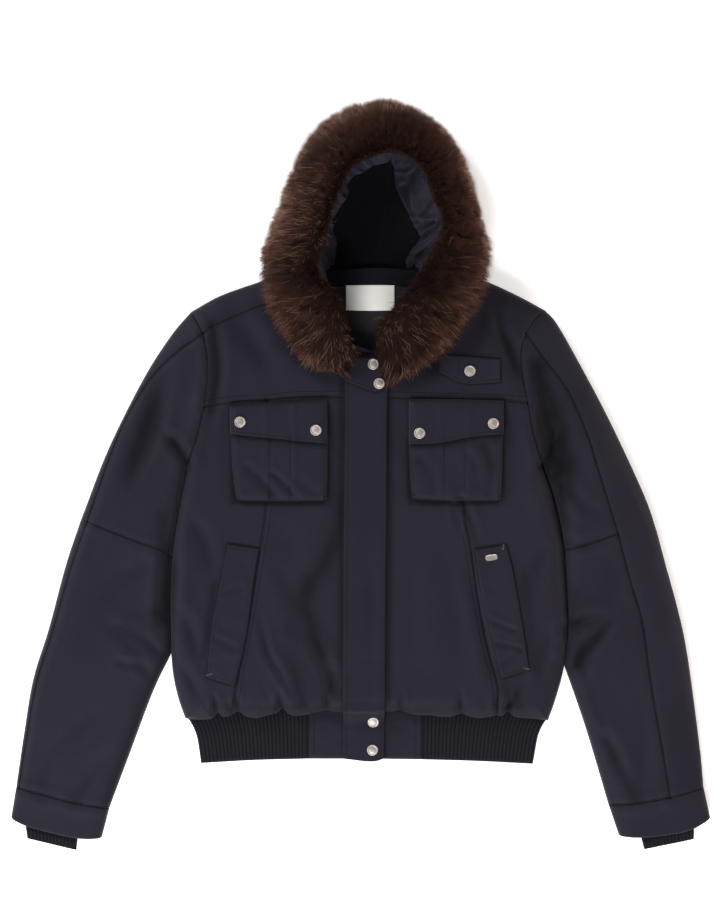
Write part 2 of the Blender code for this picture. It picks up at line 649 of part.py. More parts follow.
def flat_tube_section(start, end, bottom, height, corner, around):
    """A closed section between two places (x, y): straight below and above, round at both ends."""
    start, end = np.array(start, float), np.array(end, float)
    along = (end - start) / np.linalg.norm(end - start)
    turn = np.linspace(0, np.pi, around // 2)
    middle = bottom + height / 2
    near = start[None] + along * corner * (1 - np.sin(turn))[:, None]
    far = end[None] - along * corner * (1 - np.sin(turn))[:, None]
    near_heights = middle + height / 2 * np.cos(turn)
    return np.vstack([raised(near, near_heights), raised(far, near_heights[::-1])])


def build_cuff(side, seams):
    """The padded band at the end of a sleeve, a flattened tube, and the ribbed cuff inside it."""
    places = patch(
        seams["cuff_hem"],
        join(seams["cuff_end"], seams["cuff_seam"]),
        seams["cuff_outer"],
        seams["cuff_inner"],
    )
    width = np.linalg.norm(places[0, 0] - places[0, -1])
    narrower = [0.5 + (shares_of_length(row) - 0.5) * (1 - 2 * CUFF_WALL / width) for row in places]
    bore = np.array([at_shares(row, shares) for row, shares in zip(places, narrower)])
    upper, lower = raised(places, top_height(places)), raised(places, floor_height(places))
    bore_upper = raised(bore, top_height(bore) - CUFF_WALL)
    bore_lower = raised(bore, floor_height(bore) + CUFF_WALL)
    loft_solid(
        f"cuff_band_{side}",
        np.concatenate([upper, lower[:, ::-1]], axis=1),
        NAVY,
        inner=np.concatenate([bore_upper, bore_lower[:, ::-1]], axis=1),
    )
    rib = RIB_CUFFS[side]
    sections, holes = [], []
    inner, free = np.array(rib["inner"], float), np.array(rib["outer"], float)
    for share in (0.0, RIB_CUFF_OUT, 0.94, 1.0):
        start, end = (1 - share) * inner + share * free
        out = max(share - RIB_CUFF_OUT, 0) / (1 - RIB_CUFF_OUT)
        bottom = CUFF_WALL + 0.5 - RIB_CUFF_DROP * out
        tuck = 1.0 * (share == 1.0)
        outer = flat_tube_section(start, end, bottom + tuck, RIB_CUFF_HEIGHT - 2 * tuck, 5, 12)
        hollow = RIB_CUFF_HEIGHT - 2 * RIB_CUFF_WALL
        slit = flat_tube_section(start, end, bottom + RIB_CUFF_WALL, hollow, 1, 12)
        across = (end - start) / np.linalg.norm(end - start)
        slit[:6, :2] += across * RIB_CUFF_WALL
        slit[6:, :2] -= across * RIB_CUFF_WALL
        sections.append(outer)
        holes.append(slit)
    loft_solid(f"rib_cuff_{side}", np.array(sections), RIB_NAVY, inner=np.array(holes))


def build_hem(right, left):
    """The ribbed hem in three pieces, one round the back and two in front, and the two plain inserts."""
    feet, sides = {}, {}
    for side, seams in (("right", right), ("left", left)):
        rib_foot, insert_foot = [smooth_curve(points) for points in RIB_FEET[side]]
        rib_top = join(seams["hem_side"], seams["hem_front"])
        rib_foot = at_shares(rib_foot, shares_of_length(rib_top))
        insert_foot = at_shares(insert_foot, shares_of_length(seams["hem_middle"]))
        sides[side] = at_shares(smooth_curve(RIB_SIDES[side]), spacing(3, "even"))
        seam = at_shares(np.array([rib_foot[-1], rib_top[-1]]), spacing(3, "even"))
        centre = at_shares(np.array([insert_foot[-1], seams["hem_middle"][-1]]), spacing(3, "even"))
        for name, edges, finish in (
            ("hem_rib", (rib_foot, rib_top, sides[side], seam), RIB_NAVY),
            ("hem_insert", (insert_foot, seams["hem_middle"], seam, centre), NAVY),
        ):
            places = patch(*edges)
            top = RIB_HEIGHT - 2 * (1 - pillow(distance_to(RIB_OUTLINE, places) / RIB_EDGE))
            grid_solid(f"{name}_{side}", raised(places, RIB_LAYER + GAP), raised(places, top), finish)
        feet[side] = join(rib_foot, insert_foot)
    foot = join(feet["right"], feet["left"][::-1])
    places = patch(foot, whole_hem(right, left), sides["right"], sides["left"])
    lower = 2 * (1 - pillow(distance_to(RIB_OUTLINE, places) / RIB_EDGE))
    grid_solid("hem_rib_back", raised(places, lower), raised(places, RIB_LAYER), RIB_NAVY)


def hood_surface(ribs):
    """Outer surface of half a hood: each rib is a Bezier curve from the rim, out, down and in."""
    table = np.array(ribs, float)
    rim, foot, drawn = table[:, :3], table[:, 3:6], table[:, 6:8]
    outward = rim[:, :2] - np.array(HOOD_MIDDLE)
    outward /= np.linalg.norm(outward, axis=1)[:, None]
    outward = raised(outward, 0.0)
    near_rim = rim + drawn[:, :1] * outward
    near_floor = rim + drawn[:, 1:] * outward
    near_rim[:, 2] -= RIM_DROP
    near_floor[:, 2] = foot[:, 2]
    straight = drawn[:, 0] == 0
    near_rim[straight] = (2 * rim[straight] + foot[straight]) / 3
    near_floor[straight] = (rim[straight] + 2 * foot[straight]) / 3
    t = np.array(RIB_STATIONS)[None, :, None]
    upper_half = (1 - t) ** 3 * rim[:, None] + 3 * t * (1 - t) ** 2 * near_rim[:, None]
    return upper_half + 3 * t**2 * (1 - t) * near_floor[:, None] + t**3 * foot[:, None]


def normals_of(surface, towards):
    """Unit normals of a grid of points, on the side of a given place."""
    along = np.gradient(surface, axis=0)
    across = np.gradient(surface, axis=1)
    normals = np.cross(along, across)
    normals /= np.linalg.norm(normals, axis=2)[..., None]
    facing = np.sum(normals * (np.array(towards) - surface), axis=2)
    return normals * np.sign(np.median(facing))


def beside_seam(points, side):
    """The points of half a hood, kept half a gap clear of its centre seam."""
    seam = np.array(HOOD_SEAM, float)
    seam_x = np.interp(points[..., 1], seam[:, 1], seam[:, 0])
    kept = points.copy()
    if side == "right":
        kept[..., 0] = np.minimum(points[..., 0], seam_x - GAP / 2)
    else:
        kept[..., 0] = np.maximum(points[..., 0], seam_x + GAP / 2)
    return kept


def build_hood(side, ribs):
    """Half of the hood: its padded shell, and inside it the lining and the facing of shell cloth."""
    surface = hood_surface(ribs)
    inward = normals_of(surface, (*HOOD_MIDDLE, 60))
    # At the centre seam, along the feet of the upper ribs and up the crown, the wall lies square to it.
    inward[HOOD_FLOOR_RIB : HOOD_NECK_RIBS + 1, -1, :2] = 0
    inward[HOOD_NECK_RIBS:, -1, 0] = 0
    inward[-2:, :, 0] = 0
    inward /= np.linalg.norm(inward, axis=2)[..., None]
    wall = [beside_seam(surface + depth * inward, side) for depth in (0, HOOD_WALL)]
    grid_solid(f"hood_side_{side}", *wall, NAVY)
    inner = HOOD_WALL + GAP
    seam = FACING_COLUMNS
    outside, inside = [surface + depth * inward for depth in (inner, inner + LINING_WALL)]
    facing = [beside_seam(sheet[:, : seam + 1], side) for sheet in (outside, inside)]
    grid_solid(f"hood_facing_{side}", *facing, NAVY)
    lining = []
    for sheet in (outside, inside):
        sheet = sheet[:, seam:].copy()
        step = sheet[:, 1] - sheet[:, 0]
        sheet[:, 0] += 2 * GAP * step / np.linalg.norm(step, axis=1)[:, None]
        lining.append(beside_seam(sheet, side))
    grid_solid(f"hood_lining_{side}", *lining, LINING_NAVY)


def build_fur():
    """The ruff: rounded sections along the rim, flatter and thinner at the two lower ends."""
    sections = []
    for inner_x, inner_y, outer_x, outer_y, crown, inner_z, outer_z in FUR_SECTIONS:
        inner, outer = np.array([inner_x, inner_y, inner_z]), np.array([outer_x, outer_y, outer_z])
        section = []
        for index, (across, rise) in enumerate(FUR_PROFILE):
            point = inner + across * (outer - inner)
            point[2] += rise * (crown - point[2])
            point[2] += FUR_BELLY[index] if index < len(FUR_BELLY) else 0.0
            section.append(point)
        sections.append(section)
    loft_solid("fur_trim", np.array(sections), FUR_BROWN)


def build_front_details():
    """Everything that is sewn onto the front, each piece laid on what is under it."""
    fronts = ["front_centre_right", "front_centre_left", "front_yoke_right", "front_yoke_left"]
    inserts = ["hem_insert_right", "hem_insert_left"]
    levels = np.array([0, 30, 50, 57, 62, 68, 80, 110, 160, 230, 300, 370, 440, 490, 520, 544]) / 544
    columns = spacing(3, "even")
    edges = {
        "left": at_shares(smooth_curve(PLACKET_LEFT), levels),
        "right": at_shares(smooth_curve(PLACKET_RIGHT), levels),
        "bottom": at_shares(smooth_curve(PLACKET_FOOT), columns),
        "top": at_shares(smooth_curve([PLACKET_LEFT[-1], PLACKET_RIGHT[-1]]), columns),
    }
    places = patch(edges["bottom"], edges["top"], edges["left"], edges["right"], inset=0.0)
    laid_piece("placket", places, fronts + inserts, PLACKET_THICK, NAVY)
    laid_piece("throat_tab", small_patch(THROAT_TAB, 4, 4), fronts + ["placket"], 3.0, NAVY)
    for side, table in POCKETS.items():
        on = [f"front_centre_{side}", f"front_side_{side}", f"front_yoke_{side}"]
        bag = laid_piece(
            f"chest_pocket_{side}", small_patch(table, 6, 6), on, POCKET_THICK, NAVY, edge=POCKET_EDGE
        )
        table["flap"] = {
            "bottom": table["flap_bottom"],
            "top": [(x, y + 1) for x, y in table["top"]],
            "left": [table["flap_bottom"][0], (table["top"][0][0], table["top"][0][1] + 1)],
            "right": [table["flap_bottom"][-1], (table["top"][-1][0], table["top"][-1][1] + 1)],
        }
        laid_piece(f"chest_flap_{side}", small_patch(table["flap"], 3, 6), on + [bag.name], FLAP_THICK, NAVY)
        on = [f"front_centre_{side}", f"front_side_{side}"]
        laid_piece(f"hand_welt_{side}", small_patch(WELTS[side], 6, 3), on, WELT_THICK, NAVY)
    laid_piece("yoke_tab", small_patch(YOKE_TAB, 2, 4), ["front_yoke_left"], 2.5, NAVY)
    laid_piece("neck_facing", small_patch(NECK_FACING, 1, 6), ["back"], 2.2, NAVY, edge=2.0)
    laid_piece("label", small_patch(LABEL, 1, 2), ["back"], 2.0, CREAM, edge=1.0)


def seat(x, y, radius, on):
    """Where a flat disc rests on a piece: its middle and its up direction."""
    tree = surface_under([on])
    turns = np.linspace(0, 2 * np.pi, 24, endpoint=False)
    ring = radius * np.stack([np.cos(turns), np.sin(turns)], axis=1)
    places = np.array([x, y]) + np.vstack([share * ring for share in (0, 0.33, 0.67, 1)])
    heights = ground_at(tree, places)
    known = heights > 0
    slope = np.linalg.lstsq(
        np.column_stack([places[known], np.ones(known.sum())]), heights[known], rcond=None
    )[0]
    over = (heights[known] - (places[known] @ slope[:2] + slope[2])).max()
    up = Vector((-slope[0], -slope[1], 1.0)).normalized()
    middle = Vector((x, y, slope[0] * x + slope[1] * y + slope[2] + over + GAP))
    return middle, up


def build_snap(name, x, y, on):
    """A snap's round cap, a turned profile, seated on the cloth under it."""
    mesh = bpy.data.meshes.new(name)
    points = [(radius * MM, 0.0, height * MM) for radius, height in SNAP_PROFILE]
    mesh.from_pydata(points, [(index, index + 1) for index in range(len(points) - 1)], [])
    snap = add_object(name, mesh, STEEL)
    turned = snap.modifiers.new("turned", "SCREW")
    turned.steps = turned.render_steps = 16
    turned.use_merge_vertices = True
    turned.merge_threshold = 0.0001
    middle, up = seat(x, y, SNAP_RADIUS, on)
    snap.location = middle * MM
    snap.rotation_mode = "QUATERNION"
    snap.rotation_quaternion = up.to_track_quat("Z", "Y")


def build_bar():
    """The small plain metal bar on the wearer's left welt."""
    x, y, length, width, thickness = POCKET_BAR
    body = bmesh.new()
    bmesh.ops.create_cube(body, size=1.0)
    bmesh.ops.scale(body, vec=Vector((length, width, thickness)) * MM, verts=body.verts)
    bmesh.ops.translate(body, vec=Vector((0, 0, thickness / 2)) * MM, verts=body.verts)
    mesh = bpy.data.meshes.new("pocket_bar")
    body.to_mesh(mesh)
    body.free()
    bar = add_object("pocket_bar", mesh, STEEL)
    softened = bar.modifiers.new("softened", "BEVEL")
    softened.width = 0.4 * MM
    softened.segments = 1
    middle, up = seat(x, y, length / 2, "hand_welt_left")
    bar.location = middle * MM
    bar.rotation_mode = "QUATERNION"
    bar.rotation_quaternion = up.to_track_quat("Z", "Y")


def place_over_origin():
    """Moves the whole jacket so that its outline's middle is over the origin, and it lies on z = 0."""
    bpy.context.view_layer.update()
    corners = [piece.matrix_world @ Vector(corner) for piece in PIECES.values() for corner in piece.bound_box]
    low = [min(corner[axis] for corner in corners) for axis in range(3)]
    high = [max(corner[axis] for corner in corners) for axis in range(3)]
    shift = Vector((-(low[0] + high[0]) / 2, -(low[1] + high[1]) / 2, -low[2]))
    for piece in PIECES.values():
        piece.location += shift


for item in list(bpy.data.objects):
    bpy.data.objects.remove(item)
PIECES = {}
COLLECTION = bpy.data.collections.new("hooded_bomber_jacket")
bpy.context.scene.collection.children.link(COLLECTION)

right_seams, left_seams = sample_seams(RIGHT_SEAMS), sample_seams(LEFT_SEAMS)
RIB_OUTLINE = [smooth_curve(points) for points in RIB_SIDES.values()]
RIB_OUTLINE += [smooth_curve(points) for feet in RIB_FEET.values() for points in feet]
OUTLINE = [smooth_curve(table[name]) for table in (RIGHT_SEAMS, LEFT_SEAMS) for name in FREE_EDGES]

build_back(right_seams, left_seams)
for wearer_side, side_seams, hood_ribs in (
    ("right", right_seams, RIGHT_HOOD_RIBS),
    ("left", left_seams, LEFT_HOOD_RIBS),
):
    build_body(wearer_side, side_seams)
    build_sleeve(wearer_side, side_seams)
    build_cuff(wearer_side, side_seams)
    build_hood(wearer_side, hood_ribs)
build_hem(right_seams, left_seams)
build_fur()
build_front_details()
for snap_name, (snap_x, snap_y, under) in SNAPS.items():
    build_snap(snap_name, snap_x, snap_y, under)
build_bar()
place_over_origin()
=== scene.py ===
# %% [markdown]
# # A hooded bomber jacket, laid flat
#
# The jacket lies on its back with its hood open like a bowl, and the camera looks straight down on it.
# Its dimensions are fixed by a plain solid model, the frame. This lesson puts cloth on that frame:
# padded panels with seams and creases, a knitted hem, pockets, snaps, a lined hood and a fur ruff.
#
# Everything is worked out in millimetres, on the jacket's own axes: x runs across it from the centre
# front, y from the hem line to the hood, z up from the floor. "right" and "left" are the wearer's, so
# right is at negative x. One shift, read from the frame, takes these axes to the world.

import bpy
import numpy as np
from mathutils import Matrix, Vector


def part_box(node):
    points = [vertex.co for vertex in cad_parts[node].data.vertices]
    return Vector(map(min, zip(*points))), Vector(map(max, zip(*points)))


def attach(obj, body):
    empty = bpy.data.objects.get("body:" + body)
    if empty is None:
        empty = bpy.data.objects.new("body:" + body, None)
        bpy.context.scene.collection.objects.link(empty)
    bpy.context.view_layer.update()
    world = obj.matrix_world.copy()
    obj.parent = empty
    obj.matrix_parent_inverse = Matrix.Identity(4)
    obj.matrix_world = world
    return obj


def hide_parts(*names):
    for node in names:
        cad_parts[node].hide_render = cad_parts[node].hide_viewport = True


MM = 0.001
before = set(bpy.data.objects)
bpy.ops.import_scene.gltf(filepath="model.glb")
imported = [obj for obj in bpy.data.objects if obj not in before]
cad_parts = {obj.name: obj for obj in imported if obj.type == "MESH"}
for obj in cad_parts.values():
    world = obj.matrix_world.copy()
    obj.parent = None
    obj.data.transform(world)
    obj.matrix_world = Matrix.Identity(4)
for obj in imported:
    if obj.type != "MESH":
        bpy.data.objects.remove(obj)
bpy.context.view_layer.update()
low, high = [np.array(corner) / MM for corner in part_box("label")]
LABEL_MIDDLE = np.array([-1.0, 625.0])  # on the jacket's axes
SHIFT = np.append((low + high)[:2] / 2 - LABEL_MIDDLE, 0.0)
print("shift to the world, mm:", SHIFT.round(2))

# %% [markdown]
# ## Curves
#
# A pattern maker draws a seam as one line and cuts both pieces along it. Here a seam is a short list of
# points as well. A Catmull-Rom curve runs through them, and everything along the seam reads that curve:
# the edges of both panels, the groove between them and the rows of stitches beside it.

# %% Smooth curves and places along them
def points_of(line):
    """The points of a line. In the tables they are written shortly, as the text "x y, x y"."""
    return np.array([point.split() for point in line.split(",")] if isinstance(line, str) else line, float)


def table_of(text):
    """The rows of a table written as "x y, x y: number number word". Those that start with # are notes."""
    rows = [row.split(":") for row in text.strip().splitlines() if row[0] != "#"]
    return [(line, *[word if word.isalpha() else float(word) for word in rest.split()])
            for line, rest in rows]


def smooth_curve(line, fine=12):
    """A dense Catmull-Rom curve: from point to point it is the cubic that leans as its neighbours do."""
    points = points_of(line)
    if len(points) == 2:
        return points[0] + np.linspace(0, 1, fine + 1)[:, None] * (points[1] - points[0])
    ends = np.vstack([2 * points[0] - points[1], points, 2 * points[-1] - points[-2]])
    a, b, c, d = ends[:-3, None], ends[1:-2, None], ends[2:-1, None], ends[3:, None]
    t = (np.arange(fine) / fine)[None, :, None]
    between = b + ((c - a) * t + (2 * a - 5 * b + 4 * c - d) * t**2 + (3 * b - a - 3 * c + d) * t**3) / 2
    return np.vstack([between.reshape(-1, points.shape[1]), points[-1]])


def unit(vectors):
    """The vectors along the last axis, all made 1 long."""
    return vectors / np.maximum(np.linalg.norm(vectors, axis=-1, keepdims=True), 1e-9)


def lengths_along(curve):
    """The length of a curve up to each of its points: the running sum of its steps."""
    return np.concatenate([[0.0], np.cumsum(np.linalg.norm(np.diff(curve, axis=0), axis=1))])


def length_of(curve):
    """The whole length of a curve."""
    return lengths_along(curve)[-1]


def shares_of_length(curve):
    """The share of the whole length at which each point of a curve lies, from 0 to 1."""
    return lengths_along(curve) / length_of(curve)


def at_shares(curve, shares):
    """The points of a curve at the given shares of its length."""
    places = shares_of_length(curve)
    return np.stack([np.interp(shares, places, curve[:, axis]) for axis in range(curve.shape[1])], axis=1)


def join(*curves):
    """One curve from several that follow each other."""
    return np.vstack([curves[0]] + [curve[1:] for curve in curves[1:]])


def stations(length, cell, edge=(0.5, 1.2, 2.2, 3.4)):
    """Shares of a length for the rows of a grid: crowded at both ends, even between them."""
    edge = np.array(edge) * min(1.0, length / (4 * edge[-1]))
    inner = np.linspace(edge[-1], length - edge[-1], max(int(round((length - 2 * edge[-1]) / cell)), 1) + 1)
    ends = np.concatenate([[0.0], edge[:-1]])
    return np.concatenate([ends, inner, length - ends[::-1]]) / length


def patch(bottom, top, left, right, cell=2.0, gap=0.15):
    """A grid of places (x, y) over a four-sided outline, a Coons patch: the straight blend between left
    and right plus the one between bottom and top, less the blend of the corners, which both contain.
    The outermost rows are moved in by half the gap between neighbouring pieces."""
    across, along = cell if isinstance(cell, tuple) else (cell, cell)
    columns = stations((length_of(bottom) + length_of(top)) / 2, across)
    rows = stations((length_of(left) + length_of(right)) / 2, along)
    bottom, top = at_shares(bottom, columns), at_shares(top, columns)
    left, right = at_shares(left, rows), at_shares(right, rows)
    u, v = columns[None, :, None], rows[:, None, None]
    places = (1 - v) * bottom[None] + v * top[None] + (1 - u) * left[:, None] + u * right[:, None]
    places -= (1 - u) * ((1 - v) * bottom[0] + v * top[0]) + u * ((1 - v) * bottom[-1] + v * top[-1])
    for edge, inside in ((np.s_[0], np.s_[1]), (np.s_[-1], np.s_[-2]), (np.s_[:, 0], np.s_[:, 1]),
                         (np.s_[:, -1], np.s_[:, -2])):
        places[edge] += gap * unit(places[inside] - places[edge])
    return places


# %% Distances to curves, and whether a place is inside an outline
MOST_AT_ONCE = 3_000_000  # pairs of a place and a step that are measured in one go, to save memory


def nearest(curve, places, reach=None):
    """Distance from each place to a curve, and the length along the curve to its nearest point.

    Each place is projected onto every straight step of the curve, and the closest foot is kept. Places
    further than reach outside the curve's box are left at infinity, where a bell or a decay is 0."""
    flat = places.reshape(-1, 2)
    best, along = np.full(len(flat), np.inf), np.zeros(len(flat))
    chosen = np.arange(len(flat))
    if reach is not None:
        inside = (flat > curve.min(0) - reach).all(1) & (flat < curve.max(0) + reach).all(1)
        chosen = chosen[inside]
    start, step = curve[:-1], np.diff(curve, axis=0)
    size = np.maximum(np.sum(step**2, axis=1), 1e-12)
    run = lengths_along(curve)
    for part in np.array_split(chosen, max(1, len(chosen) * len(start) // MOST_AT_ONCE)):
        away = flat[part][:, None] - start
        share = np.clip(np.einsum("psk,sk->ps", away, step) / size, 0, 1)
        gap = np.linalg.norm(away - share[..., None] * step, axis=2)
        pick = gap.argmin(axis=1)
        best[part] = gap[np.arange(len(part)), pick]
        along[part] = run[pick] + share[np.arange(len(part)), pick] * np.sqrt(size)[pick]
    return best.reshape(places.shape[:-1]), along.reshape(places.shape[:-1])


def inside_of(ring, places):
    """True for places inside a closed ring: a ray towards +x crosses it an odd number of times."""
    x, y = places[..., 0].ravel(), places[..., 1].ravel()
    odd = np.zeros(len(x), bool)
    for (x0, y0), (x1, y1) in zip(ring, np.roll(ring, -1, axis=0)):
        crosses = (y0 > y) != (y1 > y)
        odd ^= crosses & (x < x0 + (y - y0) * (x1 - x0) / (y1 - y0 if y1 != y0 else 1e-9))
    return odd.reshape(places.shape[:-1])


def pillow(share):
    """A quarter ellipse: 0 at the edge, where it rises steeply, and 1 from a share of 1 on."""
    return np.sqrt(1 - (1 - np.clip(share, 0, 1)) ** 2)


def bell(share):
    """A Gaussian hump: 1 in the middle, near 0 from a share of 2 on."""
    return np.exp(-(share**2))


# %% [markdown]
# ## Unevenness
#
# No real cloth is even. Value noise gives every lattice point of a coarse grid a random height and blends
# between them, so the result is smooth, repeatable and as coarse as the lattice. The same idea along one
# line gives gathers and puckers their irregular spacing.

# %% Smooth noise over the cloth and along a seam
LATTICE_SIZE = 64
LATTICE = np.random.default_rng(11).uniform(-1, 1, (LATTICE_SIZE, LATTICE_SIZE))


def cloth_noise(places, size, seed=0):
    """Value noise from -1 to 1: lattice heights blended with the smooth step 3t² - 2t³ both ways."""
    at = places / size + np.array([seed * 7.31, seed * 3.17])
    cell = np.floor(at).astype(int)
    t = at - cell
    t = t * t * (3 - 2 * t)
    x, y = cell[..., 0] % LATTICE_SIZE, cell[..., 1] % LATTICE_SIZE
    x1, y1 = (x + 1) % LATTICE_SIZE, (y + 1) % LATTICE_SIZE
    lower = LATTICE[x, y] * (1 - t[..., 0]) + LATTICE[x1, y] * t[..., 0]
    upper = LATTICE[x, y1] * (1 - t[..., 0]) + LATTICE[x1, y1] * t[..., 0]
    return lower * (1 - t[..., 1]) + upper * t[..., 1]


def line_noise(length, size, seed=0):
    """The same noise along a line."""
    return cloth_noise(np.stack([length, np.full_like(length, seed * 2.3 * size)], axis=-1), size, seed)


def crumple(places, size, seed=0):
    """Sharp creases between soft facets: one minus the absolute value of the noise, twice as fine again."""
    coarse = 1 - 2 * np.abs(cloth_noise(places, size, seed))
    return 0.65 * coarse + 0.35 * (1 - 2 * np.abs(cloth_noise(places, size / 2.1, seed + 5)))


print("lattice:", LATTICE.shape, "from", LATTICE.min().round(2), "to", LATTICE.max().round(2))

# %% [markdown]
# ## The pattern
#
# These are the seam lines of the two halves, the same ones that the frame was built on. The halves are not
# mirror images, because a jacket laid out by hand never lies quite evenly.

# %% Seam lines, in millimetres
SEAMS = {
    "right": """
shoulder_edge: -244 606, -204 628, -147 648, -112 658, -80 662
shoulder_seam: -226 576, -213 586, -163 608, -110 627, -74 638
neck_strap: -74 638, -80 662
neck_front: -74 638, -62 605, -34 568, 0 552
armhole_cap: -226 576, -234 590, -244 606
armhole_yoke: -225 477, -221 515, -221 545, -226 576
armhole_chest: -250 391, -238 425, -231 450, -225 477
slit_upper: -270 274, -265 311, -258 352, -250 391
slit_lower: -271 142, -272 220, -270 274
side: -252 55, -261 81, -268 112, -271 142
hem_side: -252 55, -238 53, -224 53, -215 55, -208 62, -201 57, -190 58
hem_front: -190 58, -180 64, -169 57, -155 55, -143 58, -128 62, -120 68, -112 61, -103 58, -84 60
hem_middle: -84 60, -80 62, -69 64, -59 66, -50 64, -35 64, 0 64
princess: -190 58, -178 125, -165 196, -153 270, -142 344, -140 485
chest_side: -225 477, -180 483, -140 485
chest_centre: -140 485, -96 489, 0 490
centre: 0 64, 0 490
centre_upper: 0 490, 0 552
sleeve_edge_upper: -394 322, -356 420, -308 516, -271 574, -244 606
sleeve_edge_lower: -481 -38, -471 31, -458 108, -437 176, -414 262, -394 322
sleeve_top_upper: -383 322, -344 431, -315 489, -289 525, -260 552, -226 576
sleeve_top_lower: -476 -39, -465 31, -451 105, -430 172, -406 255, -383 322
elbow: -383 322, -352 309, -318 296, -285 284, -270 274
under_edge: -355 -67, -328 5, -296 90, -271 142
cuff_end: -481 -38, -476 -39
cuff_seam: -476 -39, -442 -48, -398 -59, -355 -67
cuff_hem: -488 -79, -464 -89, -430 -98, -396 -105, -365 -106
cuff_outer: -488 -79, -481 -38
cuff_inner: -365 -106, -355 -67
""",
    "left": """
shoulder_edge: 236 608, 201 627, 157 647, 116 658, 82 662
shoulder_seam: 209 576, 190 590, 155 607, 110 627, 76 638
neck_strap: 76 638, 82 662
neck_front: 76 638, 63 605, 34 568, 0 552
armhole_cap: 209 576, 220 594, 236 608
armhole_yoke: 211 482, 204 525, 203 555, 209 576
armhole_chest: 232 398, 224 420, 217 446, 211 482
slit_upper: 262 283, 255 324, 244 366, 232 398
slit_lower: 262 126, 267 175, 266 216, 262 283
side: 240 52, 248 74, 257 104, 262 126
hem_side: 240 52, 221 54, 208 55, 194 57, 186 64, 178 58, 170 59
hem_front: 170 59, 161 57, 147 55, 134 57, 122 61, 109 57, 93 57, 80 59, 69 59
hem_middle: 69 59, 53 61, 39 66, 31 64, 23 64, 0 64
princess: 170 59, 171 100, 158 150, 145 216, 134 290, 125 344, 124 486
chest_side: 211 482, 174 485, 124 486
chest_centre: 124 486, 93 487, 0 490
centre: 0 64, 0 490
centre_upper: 0 490, 0 552
sleeve_edge_upper: 388 308, 370 359, 321 464, 273 554, 250 593, 236 608
sleeve_edge_lower: 451 -38, 446 16, 430 136, 418 196, 398 270, 388 308
sleeve_top_upper: 333 306, 305 397, 293 436, 266 498, 232 544, 209 576
sleeve_top_lower: 404 -51, 398 -12, 377 108, 366 186, 348 248, 333 306
elbow: 333 306, 309 297, 285 289, 262 283
under_edge: 322 -62, 296 26, 278 81, 262 126
cuff_end: 451 -38, 428 -45, 404 -51
cuff_seam: 404 -51, 360 -59, 322 -62
cuff_hem: 460 -79, 433 -93, 404 -100, 366 -104, 336 -103
cuff_outer: 460 -79, 451 -38
cuff_inner: 336 -103, 322 -62
""",
}
LINES = {"right": {}, "left": {}}
for side, table in SEAMS.items():
    for row in table.strip().splitlines():
        name, points = row.split(":")
        LINES[side][name] = smooth_curve(points)
BACK_NECK = smooth_curve("-74 638, -62 654, -30 660, 5 661, 40 660, 65 654, 76 638")
print("seam lines:", sum(len(table) for table in LINES.values()))

# %% Which lines are free edges, and which are sewn
# Free edges by how tightly the padding rounds over them: the radius in millimetres.
EDGE_ROUNDING = {
    "shoulder_edge": 34, "sleeve_edge_upper": 44, "sleeve_edge_lower": 44, "cuff_outer": 30,
    "under_edge": 34, "cuff_inner": 24, "slit_upper": 20, "slit_lower": 24, "side": 34,
    "hem_side": 26, "hem_front": 26, "hem_middle": 20,
}
# Sewn lines: depth of the groove, and height of the puckers beside it.
SEWN = {
    "shoulder_seam": (1.3, 0.25), "armhole_cap": (1.8, 0.3), "armhole_yoke": (2.4, 0.55),
    "armhole_chest": (2.6, 0.5), "princess": (1.3, 0.45), "chest_side": (1.5, 0.4),
    "chest_centre": (1.5, 0.4), "sleeve_top_upper": (1.9, 0.4), "sleeve_top_lower": (1.9, 0.4),
    "elbow": (1.8, 0.5), "cuff_end": (2.0, 0.5), "cuff_seam": (2.0, 0.6),
}
OUTLINE = [(LINES[side][name], radius) for side in LINES for name, radius in EDGE_ROUNDING.items()]
# The left shoulder seam lies pressed flat on the padding, and hardly shows.
PRESSED_FLAT = [("left", "shoulder_seam")]
SEWN_LINES = [(LINES[side][name], *sizes) for side in LINES for name, sizes in SEWN.items()
              if (side, name) not in PRESSED_FLAT]
NO_SEAM = 60.0  # the distance that is noted where no seam is near
print("free edges:", len(OUTLINE), "and sewn lines:", len(SEWN_LINES))
